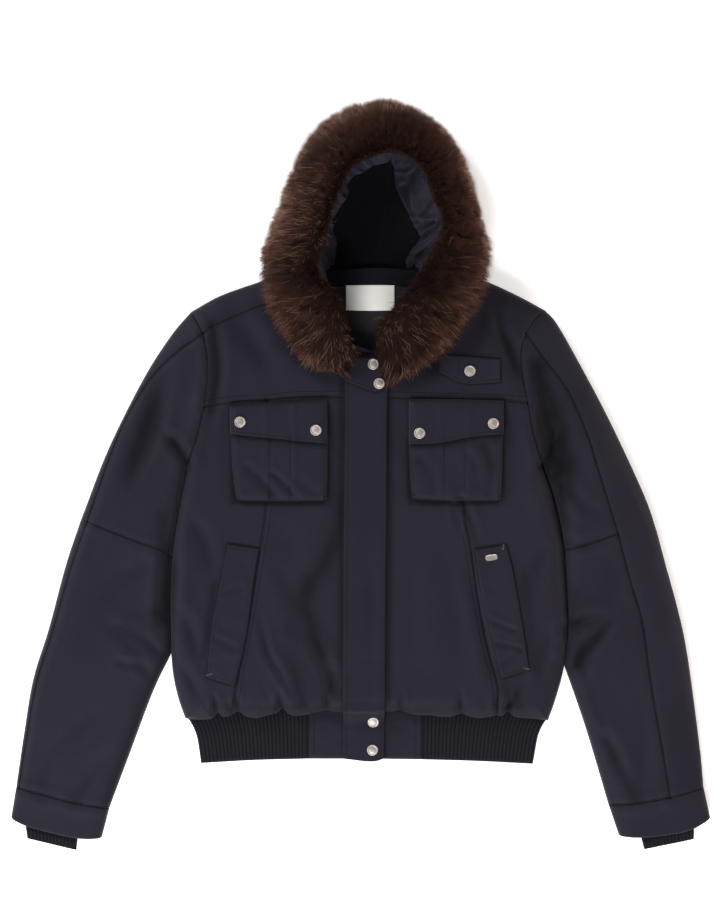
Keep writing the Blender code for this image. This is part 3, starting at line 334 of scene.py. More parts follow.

# %% [markdown]
# ## Creases
#
# Padded cloth folds softly: a crease is a trough with a low ridge along each flank, deepest in the middle
# and fading at its ends. Each one is listed on its own, because the main creases are what makes this jacket
# look like cloth that has been worn and laid down. A negative depth is a ridge.

# %% Creases: path, half width, depth, and the end at which it stays open, where it doesn't fade at both
CREASES = table_of("""
# The wearer's right: body beside the armhole, sleeve, underarm
-215 590, -208 560, -207 524, -214 483, -224 440: 9 2.2
-277 528, -285 490, -296 450, -312 410, -332 360: 15 3
-246 520, -256 470, -268 430, -282 396: 12 1.8
-294 450, -276 438, -262 424, -248 404: 8 2.2 end
-278 300, -270 262, -274 216, -277 176: 10 3.8
-360 184, -328 175, -300 156, -280 140: 9 1.7
-346 172, -318 150, -298 118: 8 1.3
-334 132, -312 128, -292 108: 6 1 start
-280 516, -296 470, -316 424, -340 376: 22 2.4
-266 276, -298 262, -328 250, -352 244: 14 1
-318 262, -356 222, -392 160: 24 1
-356 70, -392 44, -420 6: 16 1.3
-352 20, -374 -14, -396 -50: 10 1.6 end
-420 40, -434 2, -444 -42: 11 1.3 end
-400 250, -384 300, -356 352: 9 -1.3
# Body, right front
-42 334, -54 286, -80 246, -92 216, -82 188, -62 150: 15 2.1
-124 268, -114 236, -104 204: 10 1.3
-151 200, -140 148, -123 119, -109 88: 5 1.6
-116 167, -104 135, -90 80: 11 2 end
-81 176, -62 135, -54 108, -42 81: 8 1.7
-35 162, -46 120, -55 80: 8 1.4 end
-126 330, -108 270, -96 214: 16 1
-246 330, -228 300, -212 252: 11 1.8
-266 210, -246 180, -232 130: 9 1.6
-262 130, -244 108, -232 80: 8 1.8
-212 92, -209 62: 4 2.6 end
-181 96, -180 64: 3.5 2.2 end
-124 100, -120 66: 4.5 2.6 end
-60 92, -59 64: 4 2 end
# The wearer's left
178 584, 189 554, 198 526, 204 492: 9 1.6
230 500, 236 462, 244 426, 255 388, 264 336: 15 3.6
266 458, 252 436, 236 410: 9 2.8 end
230 400, 246 362, 258 318, 262 286: 13 3.2
250 500, 258 450, 270 400, 280 346: 24 2.6
262 372, 286 346, 316 336: 8 1.4 start
228 480, 244 440, 258 392, 266 336: 26 1.8
338 204, 318 180, 294 148, 270 118: 10 3.6
320 200, 290 192, 264 178: 8 3.2 end
296 176, 282 150, 270 124: 12 1.8
334 240, 360 190, 372 120: 18 1.3
300 40, 322 20, 346 -36: 9 1.6
372 62, 368 10, 362 -40: 12 1.3 end
262 292, 290 296, 322 312: 7 1.7 start
392 270, 372 322, 342 380: 8 -1.2
# Body, left front
128 280, 138 230, 153 162, 167 88: 8 1.6
90 300, 104 240, 112 180, 108 110: 18 1.1
44 300, 58 220, 52 120: 15 0.9
217 119, 198 89, 182 62: 7 2.2 end
246 300, 228 270, 214 232: 11 1.6
258 190, 238 160, 226 110: 9 1.5
186 96, 186 62: 3.5 2.4 end
170 92, 170 60: 3.5 1.8 end
122 96, 122 60: 4.5 2.2 end
42 96, 39 64: 4 2.2 end
# Yokes, under the weight of the ruff
-196 604, -160 566, -130 510: 13 1.1
-150 630, -110 580, -70 520: 11 1.2
120 600, 96 560, 60 506: 12 1.1
168 622, 176 584, 192 540, 202 512: 9 2.2
122 352, 134 322, 148 284: 6 1.6 start
112 346, 118 320, 122 300: 4.5 1.3 start
""")
CREASE_DEPTH = 1.9


def crease_fades(share, opens="both", power=0.8):
    """How strong a crease is at a share of its length: half a sine wave, or a ramp towards its open end."""
    if opens == "both":
        return np.sin(np.pi * np.clip(share, 0.02, 0.98)) ** 0.7
    return np.clip((share if opens == "end" else 1 - share) * 1.6, 0, 1) ** power


def trough(away):
    """Across a crease: minus a bell, plus 0.4 of it at twice the half width."""
    return 0.4 * bell(away - 1.9) - bell(away)


def creased(places):
    """The height that the creases add."""
    height = np.zeros(places.shape[:-1])
    for path, width, depth, *opens in CREASES:
        curve = smooth_curve(path, fine=8)
        distance, along = nearest(curve, places, reach=4 * width)
        fade = crease_fades(along / length_of(curve), *opens)
        height += CREASE_DEPTH * depth * fade * trough(distance / width)
    return height


# Painted shade, where one layer keeps the light off the next, and in valleys and along edges that
# the light misses: path, half width, share of the light that is lost
SHADES = table_of("""
-214 590, -212 550, -210 510, -214 470: 8 0.4
-266 430, -256 416, -248 396: 8 0.85
-294 462, -298 420, -304 376: 18 0.2
-330 186, -305 164, -284 140: 8 0.32
-283 330, -281 260, -284 185: 9 0.45
-290 200, -276 186: 7 0.55
-272 150, -300 90, -345 -20, -362 -66: 7 0.35
-44 350, -46 300, -60 262, -80 232, -82 205, -66 150: 14 0.42
-112 176, -92 130, -72 80: 10 0.35
-184 440, -185 358, -178 349, -120 347, -66 348: 4.5 0.85
50 430, 53 356, 60 349, 110 347, 168 350: 4.5 0.85
26 512, 50 516, 80 530: 14 0.5
-212 236, -219 190, -226 140: 5 0.5
-128 562, -92 536, -60 512: 8 0.3
-206 72, -150 70, -90 70, -40 66: 6 0.35
24.5 540, 25 300, 23 80: 4.5 0.6
224 530, 230 500, 235 460, 238 425, 240 394: 14 1
-39.5 520, -40.5 300, -40 80: 4.5 0.5
254 486, 260 440, 264 400: 22 0.3
276 226, 278 180, 280 130: 10 0.45
326 250, 310 216, 300 180: 16 0.2
282 130, 305 60, 345 -30, 362 -66: 7 0.35
162 614, 136 562, 92 530: 15 0.5
204 604, 192 570, 186 530: 26 0.22
165 640, 215 615, 255 592: 8 0.3
206 250, 214 180, 222 120: 8 0.35
166 124, 182 96, 200 74: 10 0.3
40 66, 120 70, 200 72: 6 0.35
412 60, 428 -20, 436 -60: 24 0.16
""")


def painted_shade_amount(places):
    """Painted shade: from 0 on open cloth to 1 in deep creases and under the edge of another layer."""
    hollow = np.clip(-creased(places) / 10.0 - 0.07, 0, 0.6)
    for path, width, lost in SHADES:
        distance, _ = nearest(smooth_curve(path, 8), places, reach=2.6 * width)
        hollow += lost * bell(distance / width)
    return np.clip(hollow, 0, 1)


print("creases:", len(CREASES), "and shades:", len(SHADES))

# %% [markdown]
# ## One height for the whole front
#
# The front layer is one function: it tells how high the cloth stands over any place. Panels, pockets, tabs,
# snaps and stitches all ask it, so they fit on each other without being adjusted. Its terms are the padding
# rounding over the free edges, broad undulations, the creases, the gathers above the knitted hem, and along
# each seam a groove with small puckers that run square to it.

# %% Height of the front layer, smooth and with its seams
FULL, WAIST_OF_EDGE, EDGE_RISE = 37.2, 12.7, 5.0  # full height, level of the fold at an edge, rise from it
CUFF_TAPER, TAPER_START, TAPER_END = 0.55, 142.0, -80.0  # the sleeves' share of flattening, between two y


def rise_from_edges(places):
    """From 0 at the free edges to 1 inside: the lowest of the quarter ellipses of all the edges. The
    second result is the distance to the nearest edge."""
    rise, closest = np.ones(places.shape[:-1]), np.full(places.shape[:-1], np.inf)
    for curve, radius in OUTLINE:
        distance, _ = nearest(curve, places, reach=radius)
        rise = np.minimum(rise, pillow(distance / radius))
        closest = np.minimum(closest, distance)
    return rise, closest


def gathers(places):
    """The fullness above the knitted hem: bumps along the hem line, fading upwards. Where the hem line
    dips the cloth bulges, and where it is pulled up there is a tuck."""
    height = np.zeros(places.shape[:-1])
    for side, lines in LINES.items():
        hem = join(lines["hem_side"], lines["hem_front"], lines["hem_middle"])
        distance, along = nearest(hem, places, reach=90)
        dip = np.interp(along, lengths_along(hem), 60 - hem[:, 1])
        bumps = 0.34 * dip + 0.8 * line_noise(along, 13, 3) + 0.5 * line_noise(along, 6, 4)
        fullness = 1.5 * bell((distance - 26) / 26) * (1 + 0.6 * line_noise(along, 30, 6))
        height += bumps * np.exp(-distance / 20) + fullness
    return height


def front_smooth(places):
    """Top of the front layer without its seams: what pockets and tabs lie on."""
    rise, closest = rise_from_edges(places)
    down_sleeve = np.clip((TAPER_START - places[..., 1]) / (TAPER_START - TAPER_END), 0, 1)
    full = (FULL - WAIST_OF_EDGE - EDGE_RISE) * (1 - CUFF_TAPER * down_sleeve)
    soft = sum(share * cloth_noise(places, size, seed)
               for share, size, seed in ((0.8, 75, 1), (0.4, 31, 2), (0.12, 13, 3)))
    moving = creased(places) + gathers(places) + soft
    inside = full + moving * np.clip(closest / 12, 0, 1)
    return WAIST_OF_EDGE + EDGE_RISE * pillow(closest / 5) + rise * inside


def seams_on(places):
    """What sewing does to the height: a groove 3 mm to each side, a soft swelling beyond it, and puckers
    that are uneven along the seam and fade within 20 mm. The second result is the distance to a seam."""
    height, closest = np.zeros(places.shape[:-1]), np.full(places.shape[:-1], NO_SEAM)
    for index, (curve, depth, pucker) in enumerate(SEWN_LINES):
        away, along = nearest(curve, places, reach=40)
        groove = -depth * (1 - pillow(away / 3.4)) * 1.25 + 0.35 * depth * bell((away - 9) / 6)
        waves = line_noise(along, 6.5, index) + 0.7 * line_noise(along, 3.7, index + 9)
        height += groove + pucker * waves * np.exp(-away / 6.5) * np.clip(away / 1.5, 0, 1)
        closest = np.minimum(closest, away)
    return height, closest


def front_top(places):
    """Top of the front layer with its seams."""
    return front_smooth(places) + seams_on(places)[0]


print("height in the middle of the chest, mm:", front_top(np.array([[0.0, 400.0]])).round(1))

# %% [markdown]
# ## Finishes
#
# A finish is a small graph of shader nodes. Written as node after node it is long and hard to read, so two
# helpers turn it into sums. A Number wraps a socket and understands + - and *, and a Finish makes any
# other node from its type, its settings and the values of its sockets.

# %% Shader sums as Python expressions
class Number:
    """A shader socket that holds a value. Each operator adds one Math node."""

    def __init__(self, finish, socket):
        self.finish, self.socket = finish, socket

    def math(self, operation, *others):
        """This value and others through a Math node."""
        return self.finish.math(operation, self, *others)

    def __add__(self, other):
        return self.math("ADD", other)

    def __sub__(self, other):
        return self.math("SUBTRACT", other)

    def __rsub__(self, other):
        return self.finish.math("SUBTRACT", other, self)

    def __mul__(self, other):
        return self.math("MULTIPLY", other)

    __radd__, __rmul__ = __add__, __mul__

    def between(self, lowest, highest):
        """0 below the lowest value, 1 above the highest, and a straight line between."""
        ends = {"From Min": lowest, "From Max": highest}
        made = self.finish.node("ShaderNodeMapRange", Value=self, **ends)
        return Number(self.finish, made.outputs["Result"])


class Finish:
    """A material, with one method for values and one for every other kind of node."""

    def __init__(self, name, **constants):
        self.material = bpy.data.materials.new(name)
        self.material.use_nodes = True
        self.tree = self.material.node_tree
        self.shader = self.tree.nodes["Principled BSDF"]
        for socket, value in constants.items():
            self.shader.inputs[socket.replace("_", " ")].default_value = value

    def put(self, socket, value):
        """Sets or links one socket."""
        value = value.socket if isinstance(value, Number) else value
        if isinstance(value, bpy.types.NodeSocket):
            self.tree.links.new(value, socket)
        else:
            socket.default_value = value

    def node(self, kind, settings=None, **sockets):
        """A node of this kind, with its settings first and then its sockets by name."""
        made = self.tree.nodes.new(kind)
        for setting, value in (settings or {}).items():
            setattr(made, setting, value)
        for name, value in sockets.items():
            self.put(made.inputs[name], value)
        return made

    def math(self, operation, *values):
        """A Math node of this operation on values and sockets."""
        made = self.node("ShaderNodeMath", {"operation": operation})
        for socket, value in zip(made.inputs, values):
            self.put(socket, value)
        return Number(self, made.outputs[0])

    def place(self):
        """The place on the object, in metres."""
        return self.node("ShaderNodeTexCoord").outputs["Object"]

    def x_and_y(self, vector):
        """The first two parts of a vector."""
        split = self.node("ShaderNodeSeparateXYZ", Vector=vector)
        return Number(self, split.outputs["X"]), Number(self, split.outputs["Y"])

    def attribute(self, name):
        """A value that the mesh carries."""
        return Number(self, self.node("ShaderNodeAttribute", {"attribute_name": name}).outputs["Fac"])

    def across_and_along(self, uv="cloth"):
        """The two directions of the piece's own map."""
        return self.x_and_y(self.node("ShaderNodeUVMap", {"uv_map": uv}).outputs[0])

    def noise(self, per_metre, detail=2.0):
        """Noise from 0 to 1 with that many features to the metre."""
        made = self.node("ShaderNodeTexNoise", Vector=self.place(), Scale=per_metre, Detail=detail)
        return Number(self, made.outputs["Fac"])

    def mix(self, share, first, second):
        """The blend of two colours."""
        made = self.node("ShaderNodeMix", {"data_type": "RGBA", "clamp_factor": True})
        for socket, value in ((made.inputs[0], share), (made.inputs[6], first), (made.inputs[7], second)):
            self.put(socket, (*value, 1.0) if isinstance(value, tuple) and len(value) == 3 else value)
        return made.outputs[2]

    def bump(self, height, depth, strength=1.0, under=None):
        """A normal that shows a height from 0 to 1 as relief of that depth in metres."""
        made = self.node("ShaderNodeBump", Height=height, Distance=depth, Strength=strength)
        if under is not None:
            self.put(made.inputs["Normal"], under)
        return made.outputs["Normal"]

    def finish(self, **sockets):
        """Links the shader's own sockets, and gives the material."""
        for name, value in sockets.items():
            self.put(self.shader.inputs[name.replace("_", " ")], value)
        return self.material


# %% [markdown]
# ## Cloth finishes
#
# The shell is a dense navy twill with a matt sheen. Three things make it more than a flat colour: the fine
# diagonal of the weave, a very faint crinkle, and dark seams and folds, because a groove gets less light.
# The weave reads the piece's own map, which is turned to its grain, so it runs down the sleeves and down
# the body as it was cut.

# %% Shell twill, rib knit, lining, facing
SHELL_NAVY, SHELL_DEEP = (0.0112, 0.0101, 0.0165), (0.0084, 0.0076, 0.0127)
FACING_NAVY, FACING_DEEP = (0.0160, 0.0142, 0.0225), (0.0110, 0.0098, 0.0160)
RIB_PITCH = 5.0  # the width of a knitted column, in millimetres


def shaded(tone, share):
    """A colour with a share of its light."""
    return tuple(share * part for part in tone)


def wave(distance, pitch):
    """A sine wave with one ridge for every pitch, in metres."""
    return (distance * (2 * np.pi / pitch)).math("SINE")


def twill_cloth(name, navy=SHELL_NAVY, deep=SHELL_DEEP, crinkle=0.00030, sheen=0.04):
    """Twill: height = the sine of across plus along, broken up by the crossing threads."""
    made = Finish(name, Specular_IOR_Level=0.05, Sheen_Weight=sheen, Sheen_Roughness=0.55, IOR=1.45)
    across, along = made.across_and_along()
    weave = wave(across + along, 0.0011) * 0.35 + wave(across - along, 0.0006) * 0.15 + 0.5
    broad = made.noise(7, 3.0)
    fine = made.noise(120, 3.0)
    seam = made.attribute("seam").between(0.0, 2.6)
    grain = made.noise(430, 2.0).between(0.30, 0.70)
    tone = made.mix(broad * 0.6 + grain * 0.4, deep, shaded(navy, 1.05))
    # Painted shade: darker in creases and under the edges of other layers, by the share the mesh carries.
    tone = made.mix(made.attribute("hollow") * 0.9, tone, shaded(deep, 0.12))
    # Painted shade in the seam grooves, along a piece's own rim and beside the edges of pieces lying on it.
    tone = made.mix(seam * 0.55 + 0.45, shaded(deep, 0.35), tone)
    tone = made.mix(weave * 0.10, tone, shaded(navy, 1.9))
    relief = made.bump(weave, 0.00006, 0.6, made.bump(fine, crinkle))
    return made.finish(Base_Color=tone, Roughness=0.52 + fine * 0.12, Normal=relief)


def knit(name, navy=(0.0080, 0.0078, 0.0124)):
    """Rib knit: small stitches, 1.7 mm high and 1.4 mm wide, in columns. The furrow between two columns,
    the seam groove and the shade of the cuff or hem above it are painted shade.
    """
    made = Finish(name, Specular_IOR_Level=0.03, Sheen_Weight=0.05, Sheen_Roughness=0.6)
    across, along = made.across_and_along()
    loops = wave(along + wave(across, 0.0014) * 0.0003, 0.0017) * 0.5 + 0.5
    seam = made.attribute("seam").between(0.0, 2.0)
    column = wave(across, 2 * RIB_PITCH * MM).math("ABSOLUTE")
    tone = made.mix(loops, shaded(navy, 0.65), navy)
    # Painted shade in the furrows between the columns, in the seam groove and under the layer above.
    tone = made.mix(column.between(0.25, 0.75), shaded(navy, 0.28), tone)
    tone = made.mix(seam, shaded(navy, 0.30), tone)
    tone = made.mix(made.attribute("hollow"), tone, shaded(navy, 0.12))
    return made.finish(Base_Color=tone, Roughness=0.9 - loops * 0.1, Normal=made.bump(loops, 0.0003, 0.8))


def lining_cloth(name, tone):
    """A fine fleecy lining: soft fibre noise at two sizes."""
    made = Finish(name, Specular_IOR_Level=0.02, Sheen_Weight=0.02, Sheen_Roughness=0.7)
    fibres = made.noise(900, 2.0) * 0.6 + made.noise(240, 3.0) * 0.4
    seam = made.attribute("seam").between(0.0, 1.6)
    colour = made.mix(fibres, shaded(tone, 0.6), shaded(tone, 1.5))
    # Painted shade in the groove of the lining's seam.
    colour = made.mix(seam, shaded(tone, 0.4), colour)
    fleece = made.bump(fibres, 0.0005, 0.5)
    return made.finish(Base_Color=colour, Roughness=0.95 - fibres * 0.1, Normal=fleece)


SHELL = twill_cloth("shell_twill")
# Painted light: the half of the facing on the wearer's right, in the ruff's shade, is the same twill at 1.4
# times its tone.
FACING = {side: twill_cloth(f"facing_twill_{side}", shaded(FACING_NAVY, painted_light), shaded(FACING_DEEP, painted_light),
                            crinkle=0.0012, sheen=0.06) for side, painted_light in (("left", 1.0), ("right", 1.4))}
RIB = knit("rib_knit")
LINING = lining_cloth("hood_fleece", (0.0015, 0.0014, 0.0024))
NECK_BAND = lining_cloth("neck_band", (0.0060, 0.0056, 0.0084))
BODY_LINING = lining_cloth("body_lining", (0.0190, 0.0180, 0.0210))
print("cloth finishes:", [m.name for m in (SHELL, *FACING.values(), RIB, LINING, NECK_BAND, BODY_LINING)])

# %% Thread, metal, label
def plain_thread(name, tone):
    """Sewing thread: two twisted plies show as slanted bands half a millimetre apart."""
    made = Finish(name, Specular_IOR_Level=0.05)
    x, y = made.x_and_y(made.place())
    plies = wave(x + y, 0.0006) * 0.5 + 0.5
    colour = made.mix(plies, shaded(tone, 0.7), shaded(tone, 1.2))
    return made.finish(Base_Color=colour, Roughness=0.7 - plies * 0.1)


def pressed_metal(name, tone):
    """Nickel plate: scuffed very finely all over, and darker and duller where it is worn."""
    made = Finish(name, Metallic=1.0)
    scuffs = made.noise(500, 4.0)
    worn = made.noise(130, 2.0).between(0.45, 0.75)
    colour = made.mix(worn, tone, shaded(tone, 0.62))
    return made.finish(Base_Color=colour, Roughness=0.46 + scuffs * 0.16 + worn * 0.1,
                       Normal=made.bump(scuffs, 0.00004, 0.5))


def woven_label(name, tone):
    """A damask label: fine warp and weft, and a tone that is a little uneven."""
    made = Finish(name, Specular_IOR_Level=0.25, Sheen_Weight=0.15)
    across, along = made.across_and_along()
    weave = (wave(across, 0.0005) * 0.5 + 0.5) * (wave(along, 0.0008) * 0.5 + 0.5)
    colour = made.mix(weave * 0.5 + made.noise(60, 3.0) * 0.3, shaded(tone, 0.86), tone)
    return made.finish(Base_Color=colour, Roughness=0.75 - weave * 0.1, Normal=made.bump(weave, 0.0001, 0.6))


THREAD = plain_thread("navy_thread", (0.0030, 0.0026, 0.0044))
TACK_THREAD = plain_thread("bartack_thread", (0.09, 0.085, 0.09))
METAL = pressed_metal("nickel", (0.37, 0.335, 0.31))
CREAM = woven_label("cream_label", (0.88, 0.85, 0.81))
print("small finishes:", [m.name for m in (THREAD, TACK_THREAD, METAL, CREAM)])

# %% [markdown]
# ## From a grid to a piece
#
# A padded panel is a grid of places with a top height, and either a bottom height of its own, where its
# underside shows, or a flat cover, where it lies on another layer. Both are closed all round, so that every
# piece is a solid body. Each vertex carries its distance to the nearest seam, and a map in metres turned to
# the grain for the weave.

# %% Closed meshes from grids
def new_piece(name, points, faces, finish=SHELL, slot="shell", replaced=None, seam=None, hollow=None,
              grain=0.0, uv=None, marks=None):
    """A mesh object in world metres from points in millimetres, and lists of faces of equal length. Its
    first points carry their distance to a seam, and from 0 to 1 their painted shade, in creases and under
    other layers. It replaces the frame's piece of its own name, unless others are given, or none."""
    replaced = [name] if replaced is None else replaced
    mesh = bpy.data.meshes.new(name)
    corners = np.concatenate([group.ravel() for group in faces])
    sizes = np.concatenate([np.full(len(group), group.shape[1]) for group in faces])
    mesh.vertices.add(len(points))
    mesh.vertices.foreach_set("co", ((points + SHIFT) * MM).ravel())
    mesh.loops.add(len(corners))
    mesh.loops.foreach_set("vertex_index", corners.astype(np.int32))
    mesh.polygons.add(len(sizes))
    mesh.polygons.foreach_set("loop_start", np.concatenate([[0], np.cumsum(sizes)[:-1]]).astype(np.int32))
    mesh.update(calc_edges=True)
    mesh.polygons.foreach_set("use_smooth", np.ones(len(sizes), bool))
    for attribute, values, rest in (("seam", seam, NO_SEAM), ("hollow", hollow, 0.0)):
        noted = np.full(len(points), rest, np.float32)
        if values is not None:
            noted[: values.size] = values.ravel()
        mesh.attributes.new(attribute, "FLOAT", "POINT").data.foreach_set("value", noted)
    if uv is None:
        turn = np.radians(grain)
        uv = points[:, :2] @ np.array([[np.cos(turn), -np.sin(turn)], [np.sin(turn), np.cos(turn)]]) * MM
    layer = mesh.uv_layers.new(name="cloth")
    layer.data.foreach_set("uv", uv[corners].astype(np.float32).ravel())
    for material in finish if isinstance(finish, (list, tuple)) else [finish]:
        mesh.materials.append(material)
    if marks is not None:
        mesh.polygons.foreach_set("material_index", marks.astype(np.int32))
    piece = bpy.data.objects.new(name + ("_sewn" if replaced else ""), mesh)
    bpy.context.scene.collection.objects.link(piece)
    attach(piece, "root")
    if replaced:
        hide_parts(*replaced)
    return piece


def grid_faces(index):
    """Quads between the rows and columns of a grid of vertex numbers."""
    return np.stack([index[:-1, :-1], index[:-1, 1:], index[1:, 1:], index[1:, :-1]], axis=-1).reshape(-1, 4)


def rim_of(grid):
    """The outermost entries of a grid, once round, starting along its first row."""
    return np.concatenate([grid[0, :-1], grid[:-1, -1], grid[-1, :0:-1], grid[:0:-1, 0]])


def turned_over(places):
    """Whether a grid runs clockwise seen from above, so that its faces would point down."""
    ring = rim_of(places[..., :2])
    following = np.roll(ring, -1, axis=0)
    return np.sum(ring[:, 0] * following[:, 1] - following[:, 0] * ring[:, 1]) < 0


def numbered(grid):
    """The vertex numbers of a grid of points."""
    return np.arange(grid.shape[0] * grid.shape[1]).reshape(grid.shape[:2])


def cushion(name, top, bottom, **kept):
    """A closed piece between two grids of the same size: both as quads, and a wall round the rim."""
    index = numbered(top)
    upper, lower = grid_faces(index), grid_faces(index)[:, ::-1] + index.size
    ring = rim_of(index)
    after = np.roll(ring, -1)
    wall = np.stack([ring, ring + index.size, after + index.size, after], axis=1)
    faces = np.concatenate([upper, lower, wall])
    points = np.concatenate([top.reshape(-1, 3), bottom.reshape(-1, 3)])
    return new_piece(name, points, [faces[:, ::-1] if turned_over(top) else faces], **kept)


def covered(name, surface, level, inner=3, below=True, **kept):
    """A closed piece with one shown surface. Its wall runs to a ring a few rows in at the given level, and
    one flat face covers that. With below=False the surface is the underside, and the cover is on top.
    Every side of the inner ring is shorter, so several points of the rim share a partner at its corners."""
    index = numbered(surface)
    ring = rim_of(index)
    inset = rim_of(surface[inner:-inner, inner:-inner])
    inset[:, 2] = level
    inset_index = index.size + np.arange(len(inset))
    sides = np.array([surface.shape[1], surface.shape[0]] * 2) - 1
    inset_sides = sides - 2 * inner
    starts = np.cumsum(inset_sides) - inset_sides
    match = [np.clip(np.arange(long) - inner, 0, short) + start
             for long, short, start in zip(sides, inset_sides, starts)]
    partner = inset_index[np.concatenate(match) % len(inset)]
    after, partner_after = np.roll(ring, -1), np.roll(partner, -1)
    whole = partner != partner_after
    wall4 = np.stack([ring, partner, partner_after, after], axis=1)[whole]
    wall3 = np.stack([ring, partner, after], axis=1)[~whole]
    faces = [grid_faces(index), wall4, wall3, inset_index[::-1][None]]
    if turned_over(surface) == below:
        faces = [group[:, ::-1] for group in faces]
    return new_piece(name, np.concatenate([surface.reshape(-1, 3), inset]), faces, **kept)


def raised(places, heights):
    """Places (x, y) with their heights."""
    return np.concatenate([places, np.broadcast_to(heights, places.shape[:-1])[..., None]], axis=-1)


# %% [markdown]
# ## The padded front
#
# The fronts, yokes and sleeves are patches between four seam lines each. Their grids are 2 mm wide, and
# finer along the edges, where the cloth turns down into the seams. The shape of every one of them is just
# the height function over its places.

# %% Panels of the front and of the sleeves
INTERFACE = 14.0
OUTWARD = {"right": -1, "left": 1}  # the direction of x away from the centre front


def seam_path(side, *names):
    """One curve along seams that follow each other. A name with a minus is run through backwards."""
    return join(*[LINES[side][name.strip("-")][:: -1 if name[0] == "-" else 1] for name in names])


def between(side, *edges):
    """The four edges of a panel: bottom, top, left and right, each as the names of its seams."""
    return [seam_path(side, *edge.split()) for edge in edges]


def front_panel(name, edges, grain=0.0):
    """A panel of the front layer: its top is the height function, its underside lies on the back layer."""
    places = patch(*edges)
    seam_height, seam = seams_on(places)
    top = raised(places, front_smooth(places) + seam_height)
    piece = covered(name, top, INTERFACE + 0.4, seam=seam, grain=grain, hollow=painted_shade_amount(places))
    return piece


FRONT_PANELS = [  # name; bottom, top, left and right edge; fill; grain of the wearer's left one, in degrees
    ("front_side", "hem_side", "chest_side", "side slit_lower slit_upper armhole_chest", "princess",
     "front", 0),
    ("front_centre", "hem_front hem_middle", "chest_centre", "princess", "centre", "front", 0),
    ("front_yoke", "chest_side chest_centre", "shoulder_seam neck_front", "armhole_yoke", "centre_upper",
     "front", 0),
    ("sleeve_upper", "elbow", "-armhole_yoke", "sleeve_top_upper", "slit_upper armhole_chest", "sleeve", 33),
    ("sleeve_lower", "cuff_seam", "elbow", "sleeve_top_lower", "under_edge slit_lower", "sleeve", 18),
]
made = [front_panel(f"{name}_{side}", between(side, *edges), OUTWARD[side] * grain)
        for side in LINES for name, *edges, fill, grain in FRONT_PANELS]
print("front panels:", len(made), "with", sum(len(piece.data.vertices) for piece in made), "points")

# %% [markdown]
# ## What wraps round, and the back
#
# The strip along the outer sleeve and the shoulder strap are one piece of cloth folded over the edge, so
# they have both a top and an underside. The back lies face down: its underside is the shell, creased
# where it was laid, and its upper side, which shows inside the neck, is the lining.

# %% Underside of the back layer
UNDER_CREASES = table_of("""
-190 470, -120 420, -40 400: 16 2.2
180 500, 120 440, 50 430: 14 2
-150 300, -40 262, 70 280, 150 250: 18 2.4
-200 200, -120 170, -30 190: 12 1.8
200 180, 110 140, 30 150: 13 1.9
-60 600, -20 540, 10 470: 14 1.6
-300 460, -340 380, -372 300: 12 2
-300 240, -352 220, -400 214: 10 2
-350 80, -392 60, -430 70: 11 1.6
280 470, 316 390, 338 300: 12 2
280 230, 330 200, 384 200: 10 2
310 60, 356 40, 400 56: 11 1.6
-120 120, -110 84, -112 58: 8 1.8 end
0 130, 4 90, 2 60: 9 1.8 end
120 120, 128 84, 126 58: 8 1.8 end
""")
BACK_SEWN = ("shoulder_seam", "armhole_yoke", "armhole_chest", "sleeve_top_upper", "sleeve_top_lower",
             "armhole_cap", "cuff_seam", "cuff_end")
HEM_LINES = ("hem_side", "hem_front", "hem_middle")


def back_bottom(places):
    """On the floor, lifted to the seam height at the free edges, with creases pressed up into it."""
    closest, hem = np.full((2, *places.shape[:-1]), np.inf)
    for lines in LINES.values():
        for name in EDGE_ROUNDING:
            distance, _ = nearest(lines[name], places, reach=40)
            target = hem if name in HEM_LINES else closest
            np.minimum(target, distance, out=target)
    height = 12.3 * (1 - pillow(closest / 15)) + 0.2
    height = np.maximum(height, 4.7 * (1 - pillow(hem / 12)))
    for path, width, depth, *opens in UNDER_CREASES:
        curve = smooth_curve(path, fine=8)
        distance, along = nearest(curve, places, reach=3 * width)
        height += depth * crease_fades(along / length_of(curve), *opens, power=1.0) * bell(distance / width)
    seam = np.full(places.shape[:-1], NO_SEAM)
    for lines in LINES.values():
        for name in BACK_SEWN:
            distance, _ = nearest(lines[name], places, reach=20)
            height += 1.8 * (1 - pillow(distance / 4.5))
            seam = np.minimum(seam, distance)
    wrinkled = 0.5 * np.clip(cloth_noise(places, 26, 8) + 0.2, 0, 1) * np.clip(closest / 20, 0, 1)
    return height + wrinkled, seam


print("creases underneath:", len(UNDER_CREASES))

# %% Outer sleeves, shoulder straps, sleeve backs and the back
def wrapped(name, edges, grain=0.0):
    """A piece that goes round the outer edge: top and underside over the same places."""
    places = patch(*edges, gap=0.0)
    groove, seam = seams_on(places)
    bottom, _ = back_bottom(places)
    top = np.maximum(front_smooth(places) + groove, bottom + 0.4)
    piece = cushion(name, raised(places, top), raised(places, bottom), seam=seam, grain=grain,
                    hollow=painted_shade_amount(places))


SLEEVE_TOP = "sleeve_top_lower sleeve_top_upper"
for side in LINES:
    strip = between(side, "cuff_end", "-armhole_cap", "sleeve_edge_lower sleeve_edge_upper", SLEEVE_TOP)
    wrapped(f"sleeve_top_{side}", strip, OUTWARD[side] * 20)
    strap = between(side, "shoulder_seam", "shoulder_edge", "armhole_cap", "neck_strap")
    wrapped(f"shoulder_yoke_{side}", strap, OUTWARD[side] * 20)
    places = patch(*between(side, "cuff_seam", "-armhole_yoke", SLEEVE_TOP,
                            "under_edge slit_lower slit_upper armhole_chest"), 3.0)
    bottom, seam = back_bottom(places)
    piece = covered(f"sleeve_back_{side}", raised(places, np.minimum(bottom, 12.6)), 13.6, seam=seam,
                    below=False, grain=OUTWARD[side] * 22)

